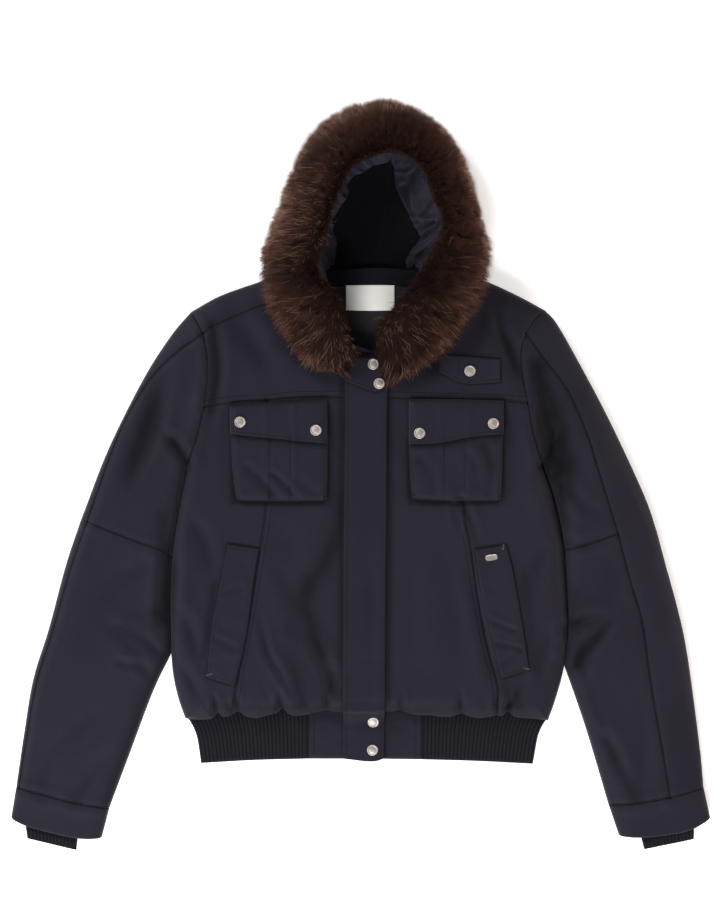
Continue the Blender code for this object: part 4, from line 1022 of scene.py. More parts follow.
RIB_ROOM = 5.2  # the upper side of the back is this low where the hem rib lies on it
hem = {side: seam_path(side, *HEM_LINES) for side in LINES}
sides = {side: seam_path(side, "side", "slit_lower", "slit_upper", "armhole_chest", "armhole_yoke")
         for side in LINES}
whole_hem = join(hem["right"], hem["left"][::-1])
shoulders = join(seam_path("right", "shoulder_seam"), BACK_NECK, seam_path("left", "-shoulder_seam"))
places = patch(whole_hem, shoulders, sides["right"], sides["left"], 4.0)
bottom, _ = back_bottom(places)
to_hem, _ = nearest(whole_hem, places)
inner_back = 13.2 + 0.5 * cloth_noise(places, 18, 4) * bell((places[..., 1] - 600) / 60)
top = RIB_ROOM + (inner_back - RIB_ROOM) * pillow((to_hem - 12) / 14)
top = np.maximum(top, bottom + 0.3)
half = len(grid_faces(numbered(places)))
back = cushion("back", raised(places, top), raised(places, bottom), finish=[SHELL, BODY_LINING],
               marks=np.repeat([1, 0, 0], [half, half, len(rim_of(places))]))
print("back layer:", len(back.data.polygons), "faces in the back")

# %% [markdown]
# ## Padded cuffs and knitted ribs
#
# A cuff is a flattened tube. Its section goes once round the opening, and a row of sections runs down the
# outside, over the lip and back up the inside, so the mouth is truly open. A knitted rib is the same kind
# of form with columns: the height, or the wall, swells and sinks once for every column.

# %% Tubes that turn back into themselves
def facing_out(points, faces):
    """The lists of faces, all turned round if the first of them encloses a negative volume."""
    corners = points[faces[0]]
    outward = np.cross(corners[:, 1] - corners[:, 0], corners[:, 2] - corners[:, 0])
    inside_out = np.sum(outward * (corners.mean(axis=1) - points.mean(axis=0))) < 0
    return [group[:, ::-1] for group in faces] if inside_out else faces


def turned_tube(name, rings, **kept):
    """A closed surface through equally long rings, joined round each ring and from the last to the first."""
    points, index = rings.reshape(-1, 3), np.pad(numbered(rings), [(0, 1), (0, 1)], "wrap")
    return new_piece(name, points, facing_out(points, [grid_faces(index)]), **kept)


def shrunk(row, wall):
    """A row of places drawn together at both ends by the wall's thickness."""
    width = length_of(row)
    return at_shares(row, 0.5 + (shares_of_length(row) - 0.5) * (1 - 2 * wall / width))


def flat_ring(places, upper, lower):
    """A ring that runs along a row of places at the upper height and back at the lower one."""
    return np.vstack([raised(places, upper), raised(places[::-1], lower[::-1])])


CUFF_WALL, LIP = 5.5, 2.2
for side in LINES:
    places = patch(*between(side, "cuff_hem", "cuff_end cuff_seam", "cuff_outer", "cuff_inner"), 1.8)
    groove, seam = seams_on(places)
    under, _ = back_bottom(places)
    down = -unit(np.gradient(places, axis=0))
    top = np.maximum(front_smooth(places) + groove, under + 0.4)
    bore = np.array([shrunk(row, CUFF_WALL) for row in places])
    inner_top = np.maximum(top - CUFF_WALL, (top + under) / 2 + 0.3)
    inner_under = np.minimum(under + CUFF_WALL, (top + under) / 2 - 0.3)

    outside = [flat_ring(*row) for row in zip(places, top, under)][::-1]
    inside = [flat_ring(*row) for row in zip(bore, inner_top, inner_under)]
    mouth = LIP * flat_ring(down[0], *np.zeros((2, len(down[0]))))
    lip = [outside[-1] * (1 - t) + inside[0] * t + mouth * np.sin(np.pi * t) for t in (0.2, 0.4, 0.6, 0.8)]
    rings = np.array(outside + lip + inside)
    seams = np.full(rings.shape[:2], NO_SEAM)
    seams[: len(places)] = np.concatenate([seam, seam[:, ::-1]], axis=1)[::-1]
    cuff = turned_tube(f"cuff_band_{side}", rings, seam=seams, grain=OUTWARD[side] * 12)
    print(cuff.name, "goes round in", rings.shape[1], "points")

# %% Knitted cuffs
KNIT = {"finish": RIB, "slot": "rib_knit"}
# The row inside the cuff, and the free one
RIB_CUFFS = {
    "right": ("-468 -62, -399 -80", "-467 -108, -400 -124"),
    "left": ("362 -80, 434 -66", "371 -123, 439 -109"),
}


def rib_profile(length):
    """The swell of one column after another: a rounded ridge and a narrow furrow."""
    return np.abs(np.sin(np.pi * length / RIB_PITCH)) ** 0.6 - 0.6


for side, (inner, free) in RIB_CUFFS.items():
    inner, free = points_of(inner), points_of(free)
    width = length_of(inner)
    columns = int(round(2 * width / RIB_PITCH)) * 8
    turn = np.arange(columns) / columns
    # The section runs across the top, round one fold, back underneath and round the other fold.
    across = np.abs(2 * ((turn + 0.5) % 1.0) - 1)
    upper = np.where(turn < 0.5, 1.0, -1.0)
    rings, maps = [], []
    # Down the outside at one half height, round the mouth, and back up the inside at a smaller one.
    shares_down = np.concatenate([np.linspace(0, 1, 26), [1.012, 1.012], np.linspace(0.99, 0.5, 8)])
    half_heights = np.concatenate([np.full(26, 4.3), [3.6, 2.4], np.full(8, 1.2)])
    for share, half_height in zip(shares_down, half_heights):
        start, end = (1 - share) * inner + share * free
        fold = pillow(np.minimum(across, 1 - across) * width / 6)
        along = start + across[:, None] * (end - start)
        out = max(min(share, 1.0) - 0.76, 0) / 0.24
        middle = 11.5 - 4.2 * out + 0.25 * np.sin(across * 9 + 2)
        swell = rib_profile(turn * 2 * width) * (1 if half_height > 2 else 0.4)
        pull = 2.4 * np.sin(np.pi * min(share, 1.0)) * (across - 0.5)
        along = along + pull[:, None] * (end - start) / width
        rings.append(raised(along, middle + upper * (half_height + swell) * (0.15 + 0.85 * fold)))
        maps.append(np.stack([turn * 2 * width, np.full(columns, share * 50)], axis=1) * MM)
    # Painted shade: the whole knitted cuff lies in the shade of the padded cuff.
    rib = turned_tube(f"rib_cuff_{side}", np.array(rings), **KNIT, uv=np.concatenate(maps),
                      hollow=np.full((len(rings), columns), 0.35))
    print(rib.name, "has", columns // 8, "columns")

# %% Hem rib and its plain inserts
# The sewn edges of ribs and inserts run under the gathered hem, above its highest tucks.
HEM_RIB = {side: {name: smooth_curve(points) for name, points in rows.items()} for side, rows in {
    "right": {"side": "-231 -7, -237 30, -246 50, -252 55", "foot": "-231 -7, -160 -3, -85 -1",
              "sewn": "-252 56, -232 60, -206 67, -180 69, -120 73, -84 70", "join": "-85 -1, -84 70",
              "insert_foot": "-85 -1, 0 -1", "insert_sewn": "-84 70, -40 70, 0 70"},
    "left": {"side": "220 -8, 227 30, 236 49, 240 52", "foot": "220 -8, 140 -4, 69 -2",
             "sewn": "240 53, 222 59, 186 69, 150 66, 69 70", "join": "69 -2, 69 70",
             "insert_foot": "69 -2, 0 -1", "insert_sewn": "69 70, 30 70, 0 70"},
}.items()}
HEM_CENTRE = smooth_curve("0 -1, 0 70")
RIB_LAYER, RIB_TOP = 5.6, 11.0
FREE_EDGES = [HEM_RIB[side][name] for side in LINES for name in ("side", "foot", "insert_foot")]


def from_foot(places):
    """The quarter ellipse over the ribs' free edges."""
    return pillow(np.min([nearest(curve, places)[0] for curve in FREE_EDGES], axis=0) / 5)


def insert_softness(places):
    """The unevenness of the plain inserts, as a share of their height."""
    return 0.5 * cloth_noise(places, 22, 12) + 0.3 * cloth_noise(places, 9, 13)


def knitted(name, top, bottom, run, **kept):
    """A rib between two grids. Its map runs along the hem, and is the same on both sides. The rib is cut
    twice as deep as it shows, and folded at its foot."""
    cloth = np.stack([run, top[..., 1]], axis=-1).reshape(-1, 2) * MM
    return cushion(name, top, bottom, **KNIT, uv=np.concatenate([cloth, cloth]), **kept)


for side, rows in HEM_RIB.items():
    places = patch(rows["foot"], rows["sewn"], rows["side"], rows["join"], (0.8, 2.4))
    width = length_of(rows["foot"])
    run = np.broadcast_to(shares_of_length(places[0]) * width + 1.5, places.shape[:-1])
    to_seam, _ = nearest(rows["join"], places)
    relief = rib_profile(run) + 0.3 * cloth_noise(places, 24, 9)
    top = RIB_LAYER + 0.35 + (RIB_TOP - RIB_LAYER - 0.4 + relief) * from_foot(places)
    top -= 1.4 * (1 - pillow(to_seam / 3))
    # Painted shade under the gathered hem, strongest along the rib's sewn edge.
    rib = knitted(f"hem_rib_{side}", raised(places, top), raised(places, RIB_LAYER + 0.3), run, seam=to_seam,
                  hollow=0.55 * bell(nearest(rows["sewn"], places)[0] / 6))
    places = patch(rows["insert_foot"], rows["insert_sewn"], rows["join"], HEM_CENTRE, 2.0)
    to_seam, _ = nearest(rows["join"], places)
    top = RIB_LAYER + 0.35 + (RIB_TOP - RIB_LAYER + 0.2 + insert_softness(places)) * from_foot(places)
    top -= 1.5 * (1 - pillow(to_seam / 3.5)) + 0.5 * bell((to_seam - 8) / 2.2)
    insert = cushion(f"hem_insert_{side}", raised(places, top), raised(places, RIB_LAYER + 0.3), seam=to_seam)
    width = length_of(rows["insert_foot"])
right, left = HEM_RIB["right"], HEM_RIB["left"]
foot = join(right["foot"], right["insert_foot"], left["insert_foot"][::-1], left["foot"][::-1])
places = patch(foot, whole_hem, right["side"], left["side"], (1.1, 4.0))
width = length_of(foot)
run = np.broadcast_to(shares_of_length(places[0]) * width, places.shape[:-1])
under = 0.2 + 5.1 * (1 - from_foot(places)) + (0.4 - rib_profile(run)) * from_foot(places)
rib_back = knitted("hem_rib_back", raised(places, RIB_LAYER - 0.2),
                   raised(places, np.minimum(under, RIB_LAYER - 0.5)), run)
print("ribs:", len(rib_back.data.polygons), "faces round the back")

# %% [markdown]
# ## Pieces sewn onto the front
#
# The placket, pockets, flaps, welts and tabs are thinner cloth that lies on the padding. Each one asks the
# height function under it, adds its own thickness and rounds down at its edges. It then gives a new height
# function, so that a flap can lie on a pocket and a snap on a flap.

# %% Outlines of small pieces, and lines beside their edges
def as_curve(line, fine):
    """A dense curve as it is, and a smooth one through the few points of a line."""
    points = points_of(line)
    return points if len(points) >= 12 else smooth_curve(points, fine)


def beside(line, offset):
    """A line moved sideways, to the left of its direction for a positive offset."""
    curve = as_curve(line, 8)
    along = unit(np.gradient(curve, axis=0))
    return curve + offset * np.stack([-along[:, 1], along[:, 0]], axis=1)


def rows_inside(outline, **offsets):
    """Lines beside the named edges of an outline, for the rows that hold a piece down."""
    return [beside(outline[edge], offset) for edge, offset in offsets.items()]


def straight_sided(bottom, top):
    """The outline of a piece whose left and right edges are straight."""
    bottom, top = points_of(bottom), points_of(top)
    return {"bottom": bottom, "top": top, "left": [bottom[0], top[0]], "right": [bottom[-1], top[-1]]}


# %% Lay a thin piece on what is under it
def shade_beside(piece, curve, softness):
    """Notes in the seam attribute of the cloth below how close an edge that lies on it is, so that the
    finish is dark beside it, where hardly any light gets in."""
    mesh = piece.data
    points = np.empty(len(mesh.vertices) * 3)
    mesh.vertices.foreach_get("co", points)
    noted = np.empty(len(mesh.vertices), np.float32)
    mesh.attributes["seam"].data.foreach_get("value", noted)
    distance, _ = nearest(curve, points.reshape(-1, 3)[:, :2] / MM - SHIFT[:2], reach=8)
    closer = np.minimum(noted, np.minimum(distance / softness, NO_SEAM))
    mesh.attributes["seam"].data.foreach_set("value", closer.astype(np.float32))


def lay(name, outline, ground, thick, edge, lift=0.5, cell=1.6, relief=lambda at, from_edge: 0.0, seams=(),
        grooves=(), on=(), softness=1.5, edge_light=2.0, rim=0.4, shades=(), **kept):
    """A thin closed piece over the ground. Its top is ground + lift + thickness times a quarter ellipse
    from its edge, plus its own relief and a groove along each of its lines. Its seams are stitched. Painted
    shade darkens its rim, its creases, the given shade paths and the cloth below beside its edge. The result
    is the height over the piece."""
    edges = [smooth_curve(outline[edge_of]) for edge_of in ("bottom", "top", "left", "right")]
    ring = join(edges[0], edges[3], edges[1][::-1], edges[2][::-1])
    places = patch(*edges, cell, gap=0.0)
    lines = [smooth_curve(line) for line in (*seams, *grooves)]

    def rise(at):
        from_edge = nearest(ring, at)[0]
        height = lift + thick * (0.42 + 0.58 * pillow(from_edge / edge))
        for index, line in enumerate(lines):
            distance, along = nearest(line, at)
            height -= 0.8 * (1 - pillow(distance / 2.6))
            height += 0.22 * line_noise(along, 4.2, index) * np.exp(-distance / 5)
        return height + relief(at, from_edge)

    def over(at):
        return ground(at) + np.where(inside_of(ring, at), rise(at), 0.0)

    base, from_edge = ground(places), nearest(ring, places)[0]
    # Painted shade along the piece's own edge: the distance to it is noted like the distance to a seam.
    seam = (from_edge + 0.55) * edge_light
    for line in lines:
        seam = np.minimum(seam, nearest(line, places)[0] + 1.1)
    # Painted shade at the rim, in the piece's own creases and along the given shade paths.
    painted_darkness = rim * bell(from_edge / 1.6) + np.clip(-relief(places, from_edge) / 4.2 - 0.06, 0, 0.6)
    for path, width, lost in shades:
        painted_darkness = painted_darkness + lost * bell(nearest(smooth_curve(path), places)[0] / width)
    for below in on:
        shade_beside(bpy.data.objects[below + "_sewn"], ring, softness)
    piece = cushion(name, raised(places, base + rise(places)), raised(places, base + 0.3), seam=seam,
                    hollow=np.clip(painted_darkness, 0, 1), **kept)
    for line in seams:
        stitch(line, over)
    return over


# %% [markdown]
# ## Stitches
#
# Topstitching is a row of real thread, not a drawn line. One stitch is a small spindle of 16 faces, pulled
# into the cloth at both ends. Arrays copy it along every row at once, and a whole region of stitches is one
# mesh.

# %% A spindle, and rows of them
STITCHES, BARTACKS = [], []  # for every row the middles, directions and half widths of its stitches
WAIST = [(1, 0), (0, 1), (-1, 0), (0, -0.6)]
SPINDLE = np.array([(-1.0, 0, -0.6), *[(-0.45, *corner) for corner in WAIST],
                    *[(0.45, *corner) for corner in WAIST], (1.0, 0, -0.6)])
SPINDLE_FACES = np.array([face for k, after in enumerate((1, 2, 3, 0)) for face in (
    (0, 1 + k, 1 + after), (9, 5 + after, 5 + k), (1 + k, 5 + k, 5 + after), (1 + k, 5 + after, 1 + after))])


def stitch(line, height, rows=STITCHES, pitch=3.4, long=2.4, wide=0.8, trim=1.5):
    """Remembers a row of stitches along a line on the jacket, at the height that a function gives there."""
    line = as_curve(line, 10)
    total = length_of(line)
    count = max(int((total - 2 * trim) / pitch), 1)
    at = (trim + (np.arange(count) + 0.5) * (total - 2 * trim) / count) / total
    half = long / 2 / total
    before, middle, after = [at_shares(line, at + step) for step in (-half, 0, half)]
    slope = np.clip(height(after) - height(before), -long * 0.5, long * 0.5)
    direction = np.column_stack([after - before, slope])
    rows.append((raised(middle, height(middle) + 0.12), direction / 2, np.full((count, 1), wide / 2)))


def stitch_mesh(name, rows, finish):
    """All the remembered rows as one mesh: the spindle stretched along each stitch's direction."""
    middles, directions, widths = [np.concatenate(column) for column in zip(*rows)]
    side = unit(np.column_stack([-directions[:, 1], directions[:, 0], np.zeros(len(middles))]))
    up = np.cross(unit(directions), side)
    along, across, upwards = np.split(SPINDLE, 3, axis=1)
    points = (middles[:, None] + along * directions[:, None] + across * (side * widths)[:, None]
              + upwards * (up * widths)[:, None])
    faces = SPINDLE_FACES[None] + (np.arange(len(middles)) * len(SPINDLE))[:, None, None]
    new_piece(name, points.reshape(-1, 3), [faces.reshape(-1, 3)], finish, replaced=())
    print(name, len(middles), "stitches")


# %% The storm flap down the front
PLACKET = {
    "left": "-38 0, -37 250, -35 500, -35 544", "right": "18 0, 20 250, 22 500, 22 544",
    "bottom": "-38 0, 0 -4, 18 0", "top": "-35 544, 22 544",
}


def front_and_hem(places):
    """The front where there is one, and the insert's level below the hem line, with a soft step between."""
    x, y = places[..., 0], places[..., 1]
    drop = pillow((66 - y) / 22)
    return front_smooth(np.stack([x, np.maximum(y, 80)], axis=-1)) * (1 - drop) + (RIB_TOP + 0.8) * drop


def placket_relief(at, from_edge):
    """Bars across the flap: it is pressed flat, and waves a little between its edges."""
    x, y = at[..., 0], at[..., 1]
    bars = 0.45 * line_noise(y, 34, 21) + 0.22 * line_noise(y, 11, 22) + 0.3 * cloth_noise(at, 24, 23)
    dent = 0.54 * bell((x + 1) / 6) * np.clip((y - 60) / 30, 0, 1) * np.clip((330 - y) / 120, 0, 1)
    return bars * pillow(from_edge / 12) - dent


# The wide shade path down its middle makes the whole placket a little darker: painted shade.
over_placket = lay(
    "placket", PLACKET, front_and_hem, 3.6, 3.0, relief=placket_relief, lift=0.9, cell=1.7,
    on=[f"{part}_{side}" for part in ("front_centre", "front_yoke", "hem_insert") for side in LINES],
    seams=rows_inside(PLACKET, left=-5.0, right=4.5), grooves=rows_inside(PLACKET, left=-1.4),
    shades=[("-8 560, -8 60", 45, 0.12)])
stitch("-34 3.5, 0 -0.5, 15 3", over_placket)

# %% The throat tab and the tab on the left yoke
THROAT_TAB = straight_sided("-35 512, -15 504, 5 497, 22 503", "-26 546, 0 548, 22 545")
over_throat = lay("throat_tab", THROAT_TAB, over_placket, 2.6, 2.5, lift=0.8, on=["placket"],
                  seams=["22 507, 5 501, -15 508, -31 515"])
YOKE_TAB = straight_sided("92 524, 126 508, 174 510", "93 547, 126 545, 174 541")
over_yoke_tab = lay("yoke_tab", YOKE_TAB, front_smooth, 2.2, 2.5, lift=0.7, on=["front_yoke_left"],
                    seams=[*rows_inside(YOKE_TAB, bottom=4.0), "118 514, 119 544"])
stitch("100 551, 174 547", front_top)

# %% Chest pockets: a bellows bag with two pleats, and a slanted flap
POCKETS = {
    "right": {
        "bottom": "-174 350, -120 349.5, -66 350",
        "top": "-190 478, -120 482, -59 486",
        "left": "-174 350, -178 351, -181 354, -182 359, -187 400, -190 478",
        "right": "-66 350, -62.5 351, -60 353.5, -59.3 358, -58 400, -59 486",
        "flap": "-190 440, -164 437, -120 433, -96 430, -58 427",
        "pleats": ["-136 440, -136 352", "-108 438, -108 352"],
        "creases": [("-166 394, -144 374, -130 352", 7, 1.6), ("-132 386, -114 370, -100 353", 5, 2.0),
                    ("-100 376, -84 364, -74 360", 8, 1.0)],
    },
    "left": {
        "bottom": "62 352, 110 350, 168 350",
        "top": "51 486, 110 486, 179 484",
        "left": "62 352, 58 353, 56 355, 55 360, 52 400, 51 486",
        "right": "168 350, 172 351, 174.5 353.5, 175.5 358, 177 400, 179 484",
        "flap": "51 426, 80 427, 110 431, 134 436, 179 440",
        "pleats": ["98 434, 99 352", "127 436, 127 352"],
        "creases": [("66 404, 80 384, 88 360", 8, 1.3), ("152 424, 161 396, 157 360", 8, 1.6),
                    ("132 412, 142 390, 144 374", 6, 1.0)],
    },
}
BODY = ("front_side", "front_centre")  # what the pockets and welts lie on


def folded(at, creases):
    """The creases of one piece."""
    return sum(depth * trough(nearest(smooth_curve(path), at)[0] / width) for path, width, depth in creases)


over_flap = {}
for side, table in POCKETS.items():
    def bag_relief(at, from_edge, table=table):
        """Two pleats pressed into the bag, a slack belly between them, and the bag's own creases."""
        height = 0.8 * cloth_noise(at, 38, 31) + 0.25 * cloth_noise(at, 13, 32)
        for pleat, slack in zip(table["pleats"], (5, -5)):
            pleat = points_of(pleat)
            height -= 1.9 * (1 - pillow(nearest(pleat, at)[0] / 3.2))
            height += 0.8 * bell((at[..., 0] - pleat[0, 0] + slack) / 5)
        from_top, _ = nearest(smooth_curve(table["top"]), at)
        return (height + folded(at, table["creases"])) * pillow(from_edge / 10) - 3.6 * bell(from_top / 16)

    def flap_relief(at, from_edge, table=table):
        """The flap stands off at its lower edge, and waves along it."""
        low = nearest(smooth_curve(table["flap"]), at)[0]
        return 2.4 * np.exp(-low / 12) + 0.7 * cloth_noise(at, 26, 41) * pillow(from_edge / 8)

    # Painted shade: a dark outline round the bag and a painted shadow under the flap's lower edge.
    over_bag = lay(f"chest_pocket_{side}", table, front_smooth, 9.5, 9.0, relief=bag_relief, lift=0.6,
                   seams=rows_inside(table, bottom=4.0, left=-4.0, right=4.0),
                   on=[f"{part}_{side}" for part in BODY], softness=2.0, edge_light=1.0, rim=0.8,
                   shades=[(beside(table["flap"], -1.0), 2.6, 0.7)])
    flap = straight_sided(table["flap"], points_of(table["top"]) + (0, 1))
    over_flap[side] = lay(f"chest_flap_{side}", flap, over_bag, 2.4, 2.5, relief=flap_relief, lift=0.9,
                          seams=rows_inside(flap, bottom=4.5, left=-4.5, right=4.5),
                          on=[f"chest_pocket_{side}"], softness=6.0)

# %% Hand-pocket welts with their bartacks
WELTS = {
    "right": {
        "bottom": "-221 112, -184 101",
        "top": "-193 292, -151 286",
        "left": "-221 112, -215 176, -203 240, -193 292",
        "right": "-184 101, -168 170, -157 250, -151 286",
        "creases": [("-198 226, -176 233", 5, 0.9), ("-208 164, -184 152", 5, 1.1)],
        "tacks": [((-218, 116), (8, 2))],  # middle and reach
    },
    "left": {
        "bottom": "176 111, 213 122",
        "top": "140 285, 182 291",
        "left": "176 111, 160 180, 148 232, 140 285",
        "right": "213 122, 205 176, 192 250, 182 291",
        "creases": [("156 190, 192 176", 4, 1.3), ("160 160, 203 151", 4, 1.5), ("168 124, 200 146", 5, 1.5)],
        "tacks": [((210, 124), (8, -2)), ((178, 288), (1, 7))],
    },
}
over_welt = {}
for side, table in WELTS.items():
    def welt_relief(at, from_edge, table=table):
        """Slight cross puckers between the two stitched edges, and the welt's own creases."""
        height = 0.5 * cloth_noise(at, 26, 51) + 0.3 * cloth_noise(at, 10, 52) + folded(at, table["creases"])
        return height * pillow(from_edge / 10)

    over_welt[side] = lay(f"hand_welt_{side}", table, front_smooth, 2.8, 3.0, relief=welt_relief, lift=0.8,
                          seams=rows_inside(table, left=-4.5, right=4.5, bottom=4.5, top=-4.5),
                          on=[f"{part}_{side}" for part in BODY], grain=OUTWARD[side] * 10)
    for middle, reach in table["tacks"]:
        reach = np.array(reach, float)
        square = unit(np.array([-reach[1], reach[0]])) * 1.5
        for share in np.linspace(-0.5, 0.5, 9):
            centre = middle + share * reach
            stitch([centre - square, centre + square], over_welt[side], BARTACKS, 3.0, 3.0, 0.7, trim=0.0)
stitch_mesh("bartacks", BARTACKS, TACK_THREAD)

# %% Rows beside the seams of the front
ROWS = [("chest_side chest_centre", 2.0), ("chest_side chest_centre", 8.0), ("princess", -2.0),
        ("princess", -7.5), ("sleeve_top_upper", -2.0), ("sleeve_top_lower", -2.0), ("shoulder_seam", -2.0),
        ("cuff_seam", 2.0), ("elbow", 2.0)]
HIDDEN_BY_TUCKS = 4  # points at the foot of the princess seams


def insert_top(at):
    """The top of the plain inserts in the hem, in the shallow groove of their row of stitches."""
    return RIB_TOP + 0.05 + insert_softness(at)


for line in ("-77 5, -77 54", "61 5, 61 54"):
    stitch(line, insert_top)
for side in LINES:
    for seams, offset in ROWS:
        if (side, seams) not in PRESSED_FLAT:
            row = beside(seam_path(side, *seams.split()), -OUTWARD[side] * offset)
            stitch(row[HIDDEN_BY_TUCKS if seams == "princess" else 0 :], front_top)
stitch_mesh("topstitching", STITCHES, THREAD)

# %% The neck: facing band and a bare woven label
def neck_level(places):
    """The inside of the back at the neck, level with its lining."""
    return np.full(places.shape[:-1], 13.5)


lay("neck_facing", straight_sided("-68 640, 5 643, 68 640", "-64 661, 5 666, 65 661"), neck_level, 1.3, 2.0,
    finish=NECK_BAND, relief=lambda at, from_edge: 0.5 * cloth_noise(at, 12, 61) * pillow(from_edge / 4))
lay("label", straight_sided("-34 608, 0 607.4, 32 608", "-34 642, 0 642.4, 32 642"), neck_level, 1.1, 1.2,
    finish=CREAM, slot="label", lift=0.6, cell=1.2,
    relief=lambda at, from_edge: 0.25 * cloth_noise(at, 20, 62) * pillow(from_edge / 5))

# %% [markdown]
# ## Snaps and the pocket bar
#
# A snap's cap is turned: one profile of radius and height, carried round an axis. The profile has the ring,
# the groove inside it and the low dome of a plain pressed cap. It is set square to the cloth under it,
# whose slope is measured over the cap's own width.

# %% Turned caps, seated on the cloth
CAP = points_of("7.4 0, 7.6 0.5, 7.5 1.2, 7 1.7, 6.4 1.85, 5.9 1.75, 5.6 1.45, 5.3 1.35, 4.9 1.5, 3.8 1.85, "
                "2.4 2.05, 1 2.12, 0 2.14")
PRESSED = {"finish": METAL, "slot": "snap_metal"}


def circle(count):
    """Points of the unit circle."""
    turn = np.linspace(0, 2 * np.pi, count, endpoint=False)
    return np.column_stack([np.cos(turn), np.sin(turn)])


def frame_on(place, over, radius):
    """The middle and three directions of a flat disc that rests on the cloth: a plane through the heights
    on three rings, lifted until most of them are below it."""
    at = np.vstack([np.array(place) + share * radius * circle(16) for share in (0.02, 0.5, 0.95)])
    height = over(at)
    slope = np.linalg.lstsq(np.column_stack([at, np.ones(len(at))]), height, rcond=None)[0]
    up = unit(np.array([-slope[0], -slope[1], 1.0]))
    level = slope @ [*place, 1.0] + np.percentile(height - (at @ slope[:2] + slope[2]), 80)
    first = unit(np.cross([0.0, 1.0, 0.0], up))
    return np.array([*place, level + 0.1]), first, np.cross(up, first), up


def turned_rings(flat, profile, seat):
    """A flat ring at each share and height of a profile, on the seat that frame_on gives."""
    middle, first, second, up = seat
    plan = flat[:, :1] * first + flat[:, 1:] * second
    return middle + profile[:, :1, None] * plan + profile[:, 1:, None] * up


def turned_cap(name, place, over):
    """A snap's cap: its rings, a top that closes in one point, and a flat underside."""
    seat = frame_on(place, over, 7.0)
    rings = turned_rings(circle(48), CAP, seat)
    points = np.vstack([rings[:-1].reshape(-1, 3), rings[-1:, 0], seat[0]])
    index = np.pad(numbered(rings[:-1]), [(0, 0), (0, 1)], "wrap")
    apex, foot = np.full((2, 48), [[len(points) - 2], [len(points) - 1]])
    top = np.stack([index[-1, :-1], index[-1, 1:], apex], axis=-1)
    under = np.stack([index[0, 1:], index[0, :-1], foot], axis=-1)
    new_piece(name, points, [grid_faces(index), np.concatenate([top, under])], **PRESSED)


SNAPS = {
    "throat_upper": ((3, 534), over_throat), "throat_lower": ((11, 508), over_throat),
    "hem_upper": ((3, 50), over_placket), "hem_lower": ((2, 12), over_placket),
    "pocket_right_outer": ((-176, 456), over_flap["right"]),
    "pocket_right_inner": ((-74, 445), over_flap["right"]),
    "pocket_left_inner": ((65, 441), over_flap["left"]),
    "pocket_left_outer": ((164, 454), over_flap["left"]),
    "yoke_tab": ((133, 525), over_yoke_tab),
}
for name, (place, over) in SNAPS.items():
    turned_cap(f"snap_{name}", place, over)

# %% The small bar on the left welt: a rounded plate with a raised border
BAR_PLACE, BAR_SIZE, BAR_TILT = (162, 274), (8.0, 4.0), np.radians(8.0)
SQUARENESS = 0.45  # a superellipse: this exponent squares the corners of an ordinary ellipse
BAR = points_of("1 0, 1 0.7, 0.97 1.05, 0.92 1.15, 0.86 1.1, 0.82 0.8, 0.5 0.82, 0.02 0.84")
middle, first, second, up = frame_on(BAR_PLACE, over_welt["left"], 6.0)
first, second = (np.cos(BAR_TILT) * first + np.sin(BAR_TILT) * second,
                 np.cos(BAR_TILT) * second - np.sin(BAR_TILT) * first)
flat = np.sign(circle(64)) * np.abs(circle(64)) ** SQUARENESS * BAR_SIZE
rings = turned_rings(flat, BAR, (middle, first, second, up))
index = np.pad(numbered(rings), [(0, 0), (0, 1)], "wrap")
new_piece("pocket_bar", rings.reshape(-1, 3),
          [grid_faces(index), index[-1:, :-1], index[:1, -2::-1]], **PRESSED)
print("snaps and bar seated")

# %% [markdown]
# ## The hood
#
# The hood lies open like a bowl. Each half is a row of ribs: a rib is a Bezier curve that leaves the rim,
# bulges outwards, drops to the floor and runs in to the centre seam. Blending the ribs gives one smooth
# surface with two parameters: where it is along the rim, and how far down its rib. Inside it lie the facing,
# a band of shell cloth that is crumpled by the weight of the ruff, and the dark fleece lining.

# %% Half a hood from its ribs
HOOD_MIDDLE = np.array([15.0, 700.0])
# Rim x, y, z; foot x, y, z; how far the rib is drawn outwards near the rim and near the floor; and the share
# of its length that the facing covers.
RIBS = {
    "right":
        "-31 560 52 -29 561 41 0 0 0.7, -50 584 54 -47 586 41 0 0 0.7, -68 618 55 -63 618 41 0 0 0.72, "
        "-76 650 56 -66 647 24 0 0 0.86, -80 670 56 -70 657 16 3 -14 0.92, "
        "-84 692 56 -56 659 4 5 -30 0.86, -83 725 56 -26 661 1 6 -36 0.7, "
        "-77 757 56 5.5 662 1 6 -38 0.58, -68 786 56 17 730 1 6 -36 0.66, "
        "-54 812 56 23 775 1 5 -32 0.66, -30 834 55 27 800 5 4 -22 0.98, 0 845 54 28 822 18 3 -10 0.99, "
        "29 848 54 29 838 36 1 -2 0.99",
    "left":
        "20 562 52 18 563 41 0 0 0.7, 38 582 54 35 586 41 0 0 0.7, 60 614 55 56 618 41 0 0 0.72, "
        "75 646 56 68 645 24 0 0 0.86, 89 667 56 72 657 16 3 -16 0.92, 101 690 56 60 659 4 5 -34 0.88, "
        "107 722 56 34 661 1 6 -42 0.8, 104 755 56 5.5 662 1 6 -44 0.65, 96 784 56 17 730 1 6 -42 0.76, "
        "84 812 56 23 775 1 5 -36 0.88, 66 834 55 27 800 5 4 -24 0.98, 46 846 54 28 822 18 3 -10 0.99, "
        "29 848 54 29 838 36 1 -2 0.99",
}
CENTRE_SEAM = points_of("5 660, 8 675, 17 730, 23 775, 27 800, 28 822, 29 838, 29 900")
RIM_DROP = 12.0
HOOD_WALL, INNER_START, CLOTH_WALL = 5.6, 6.2, 1.5


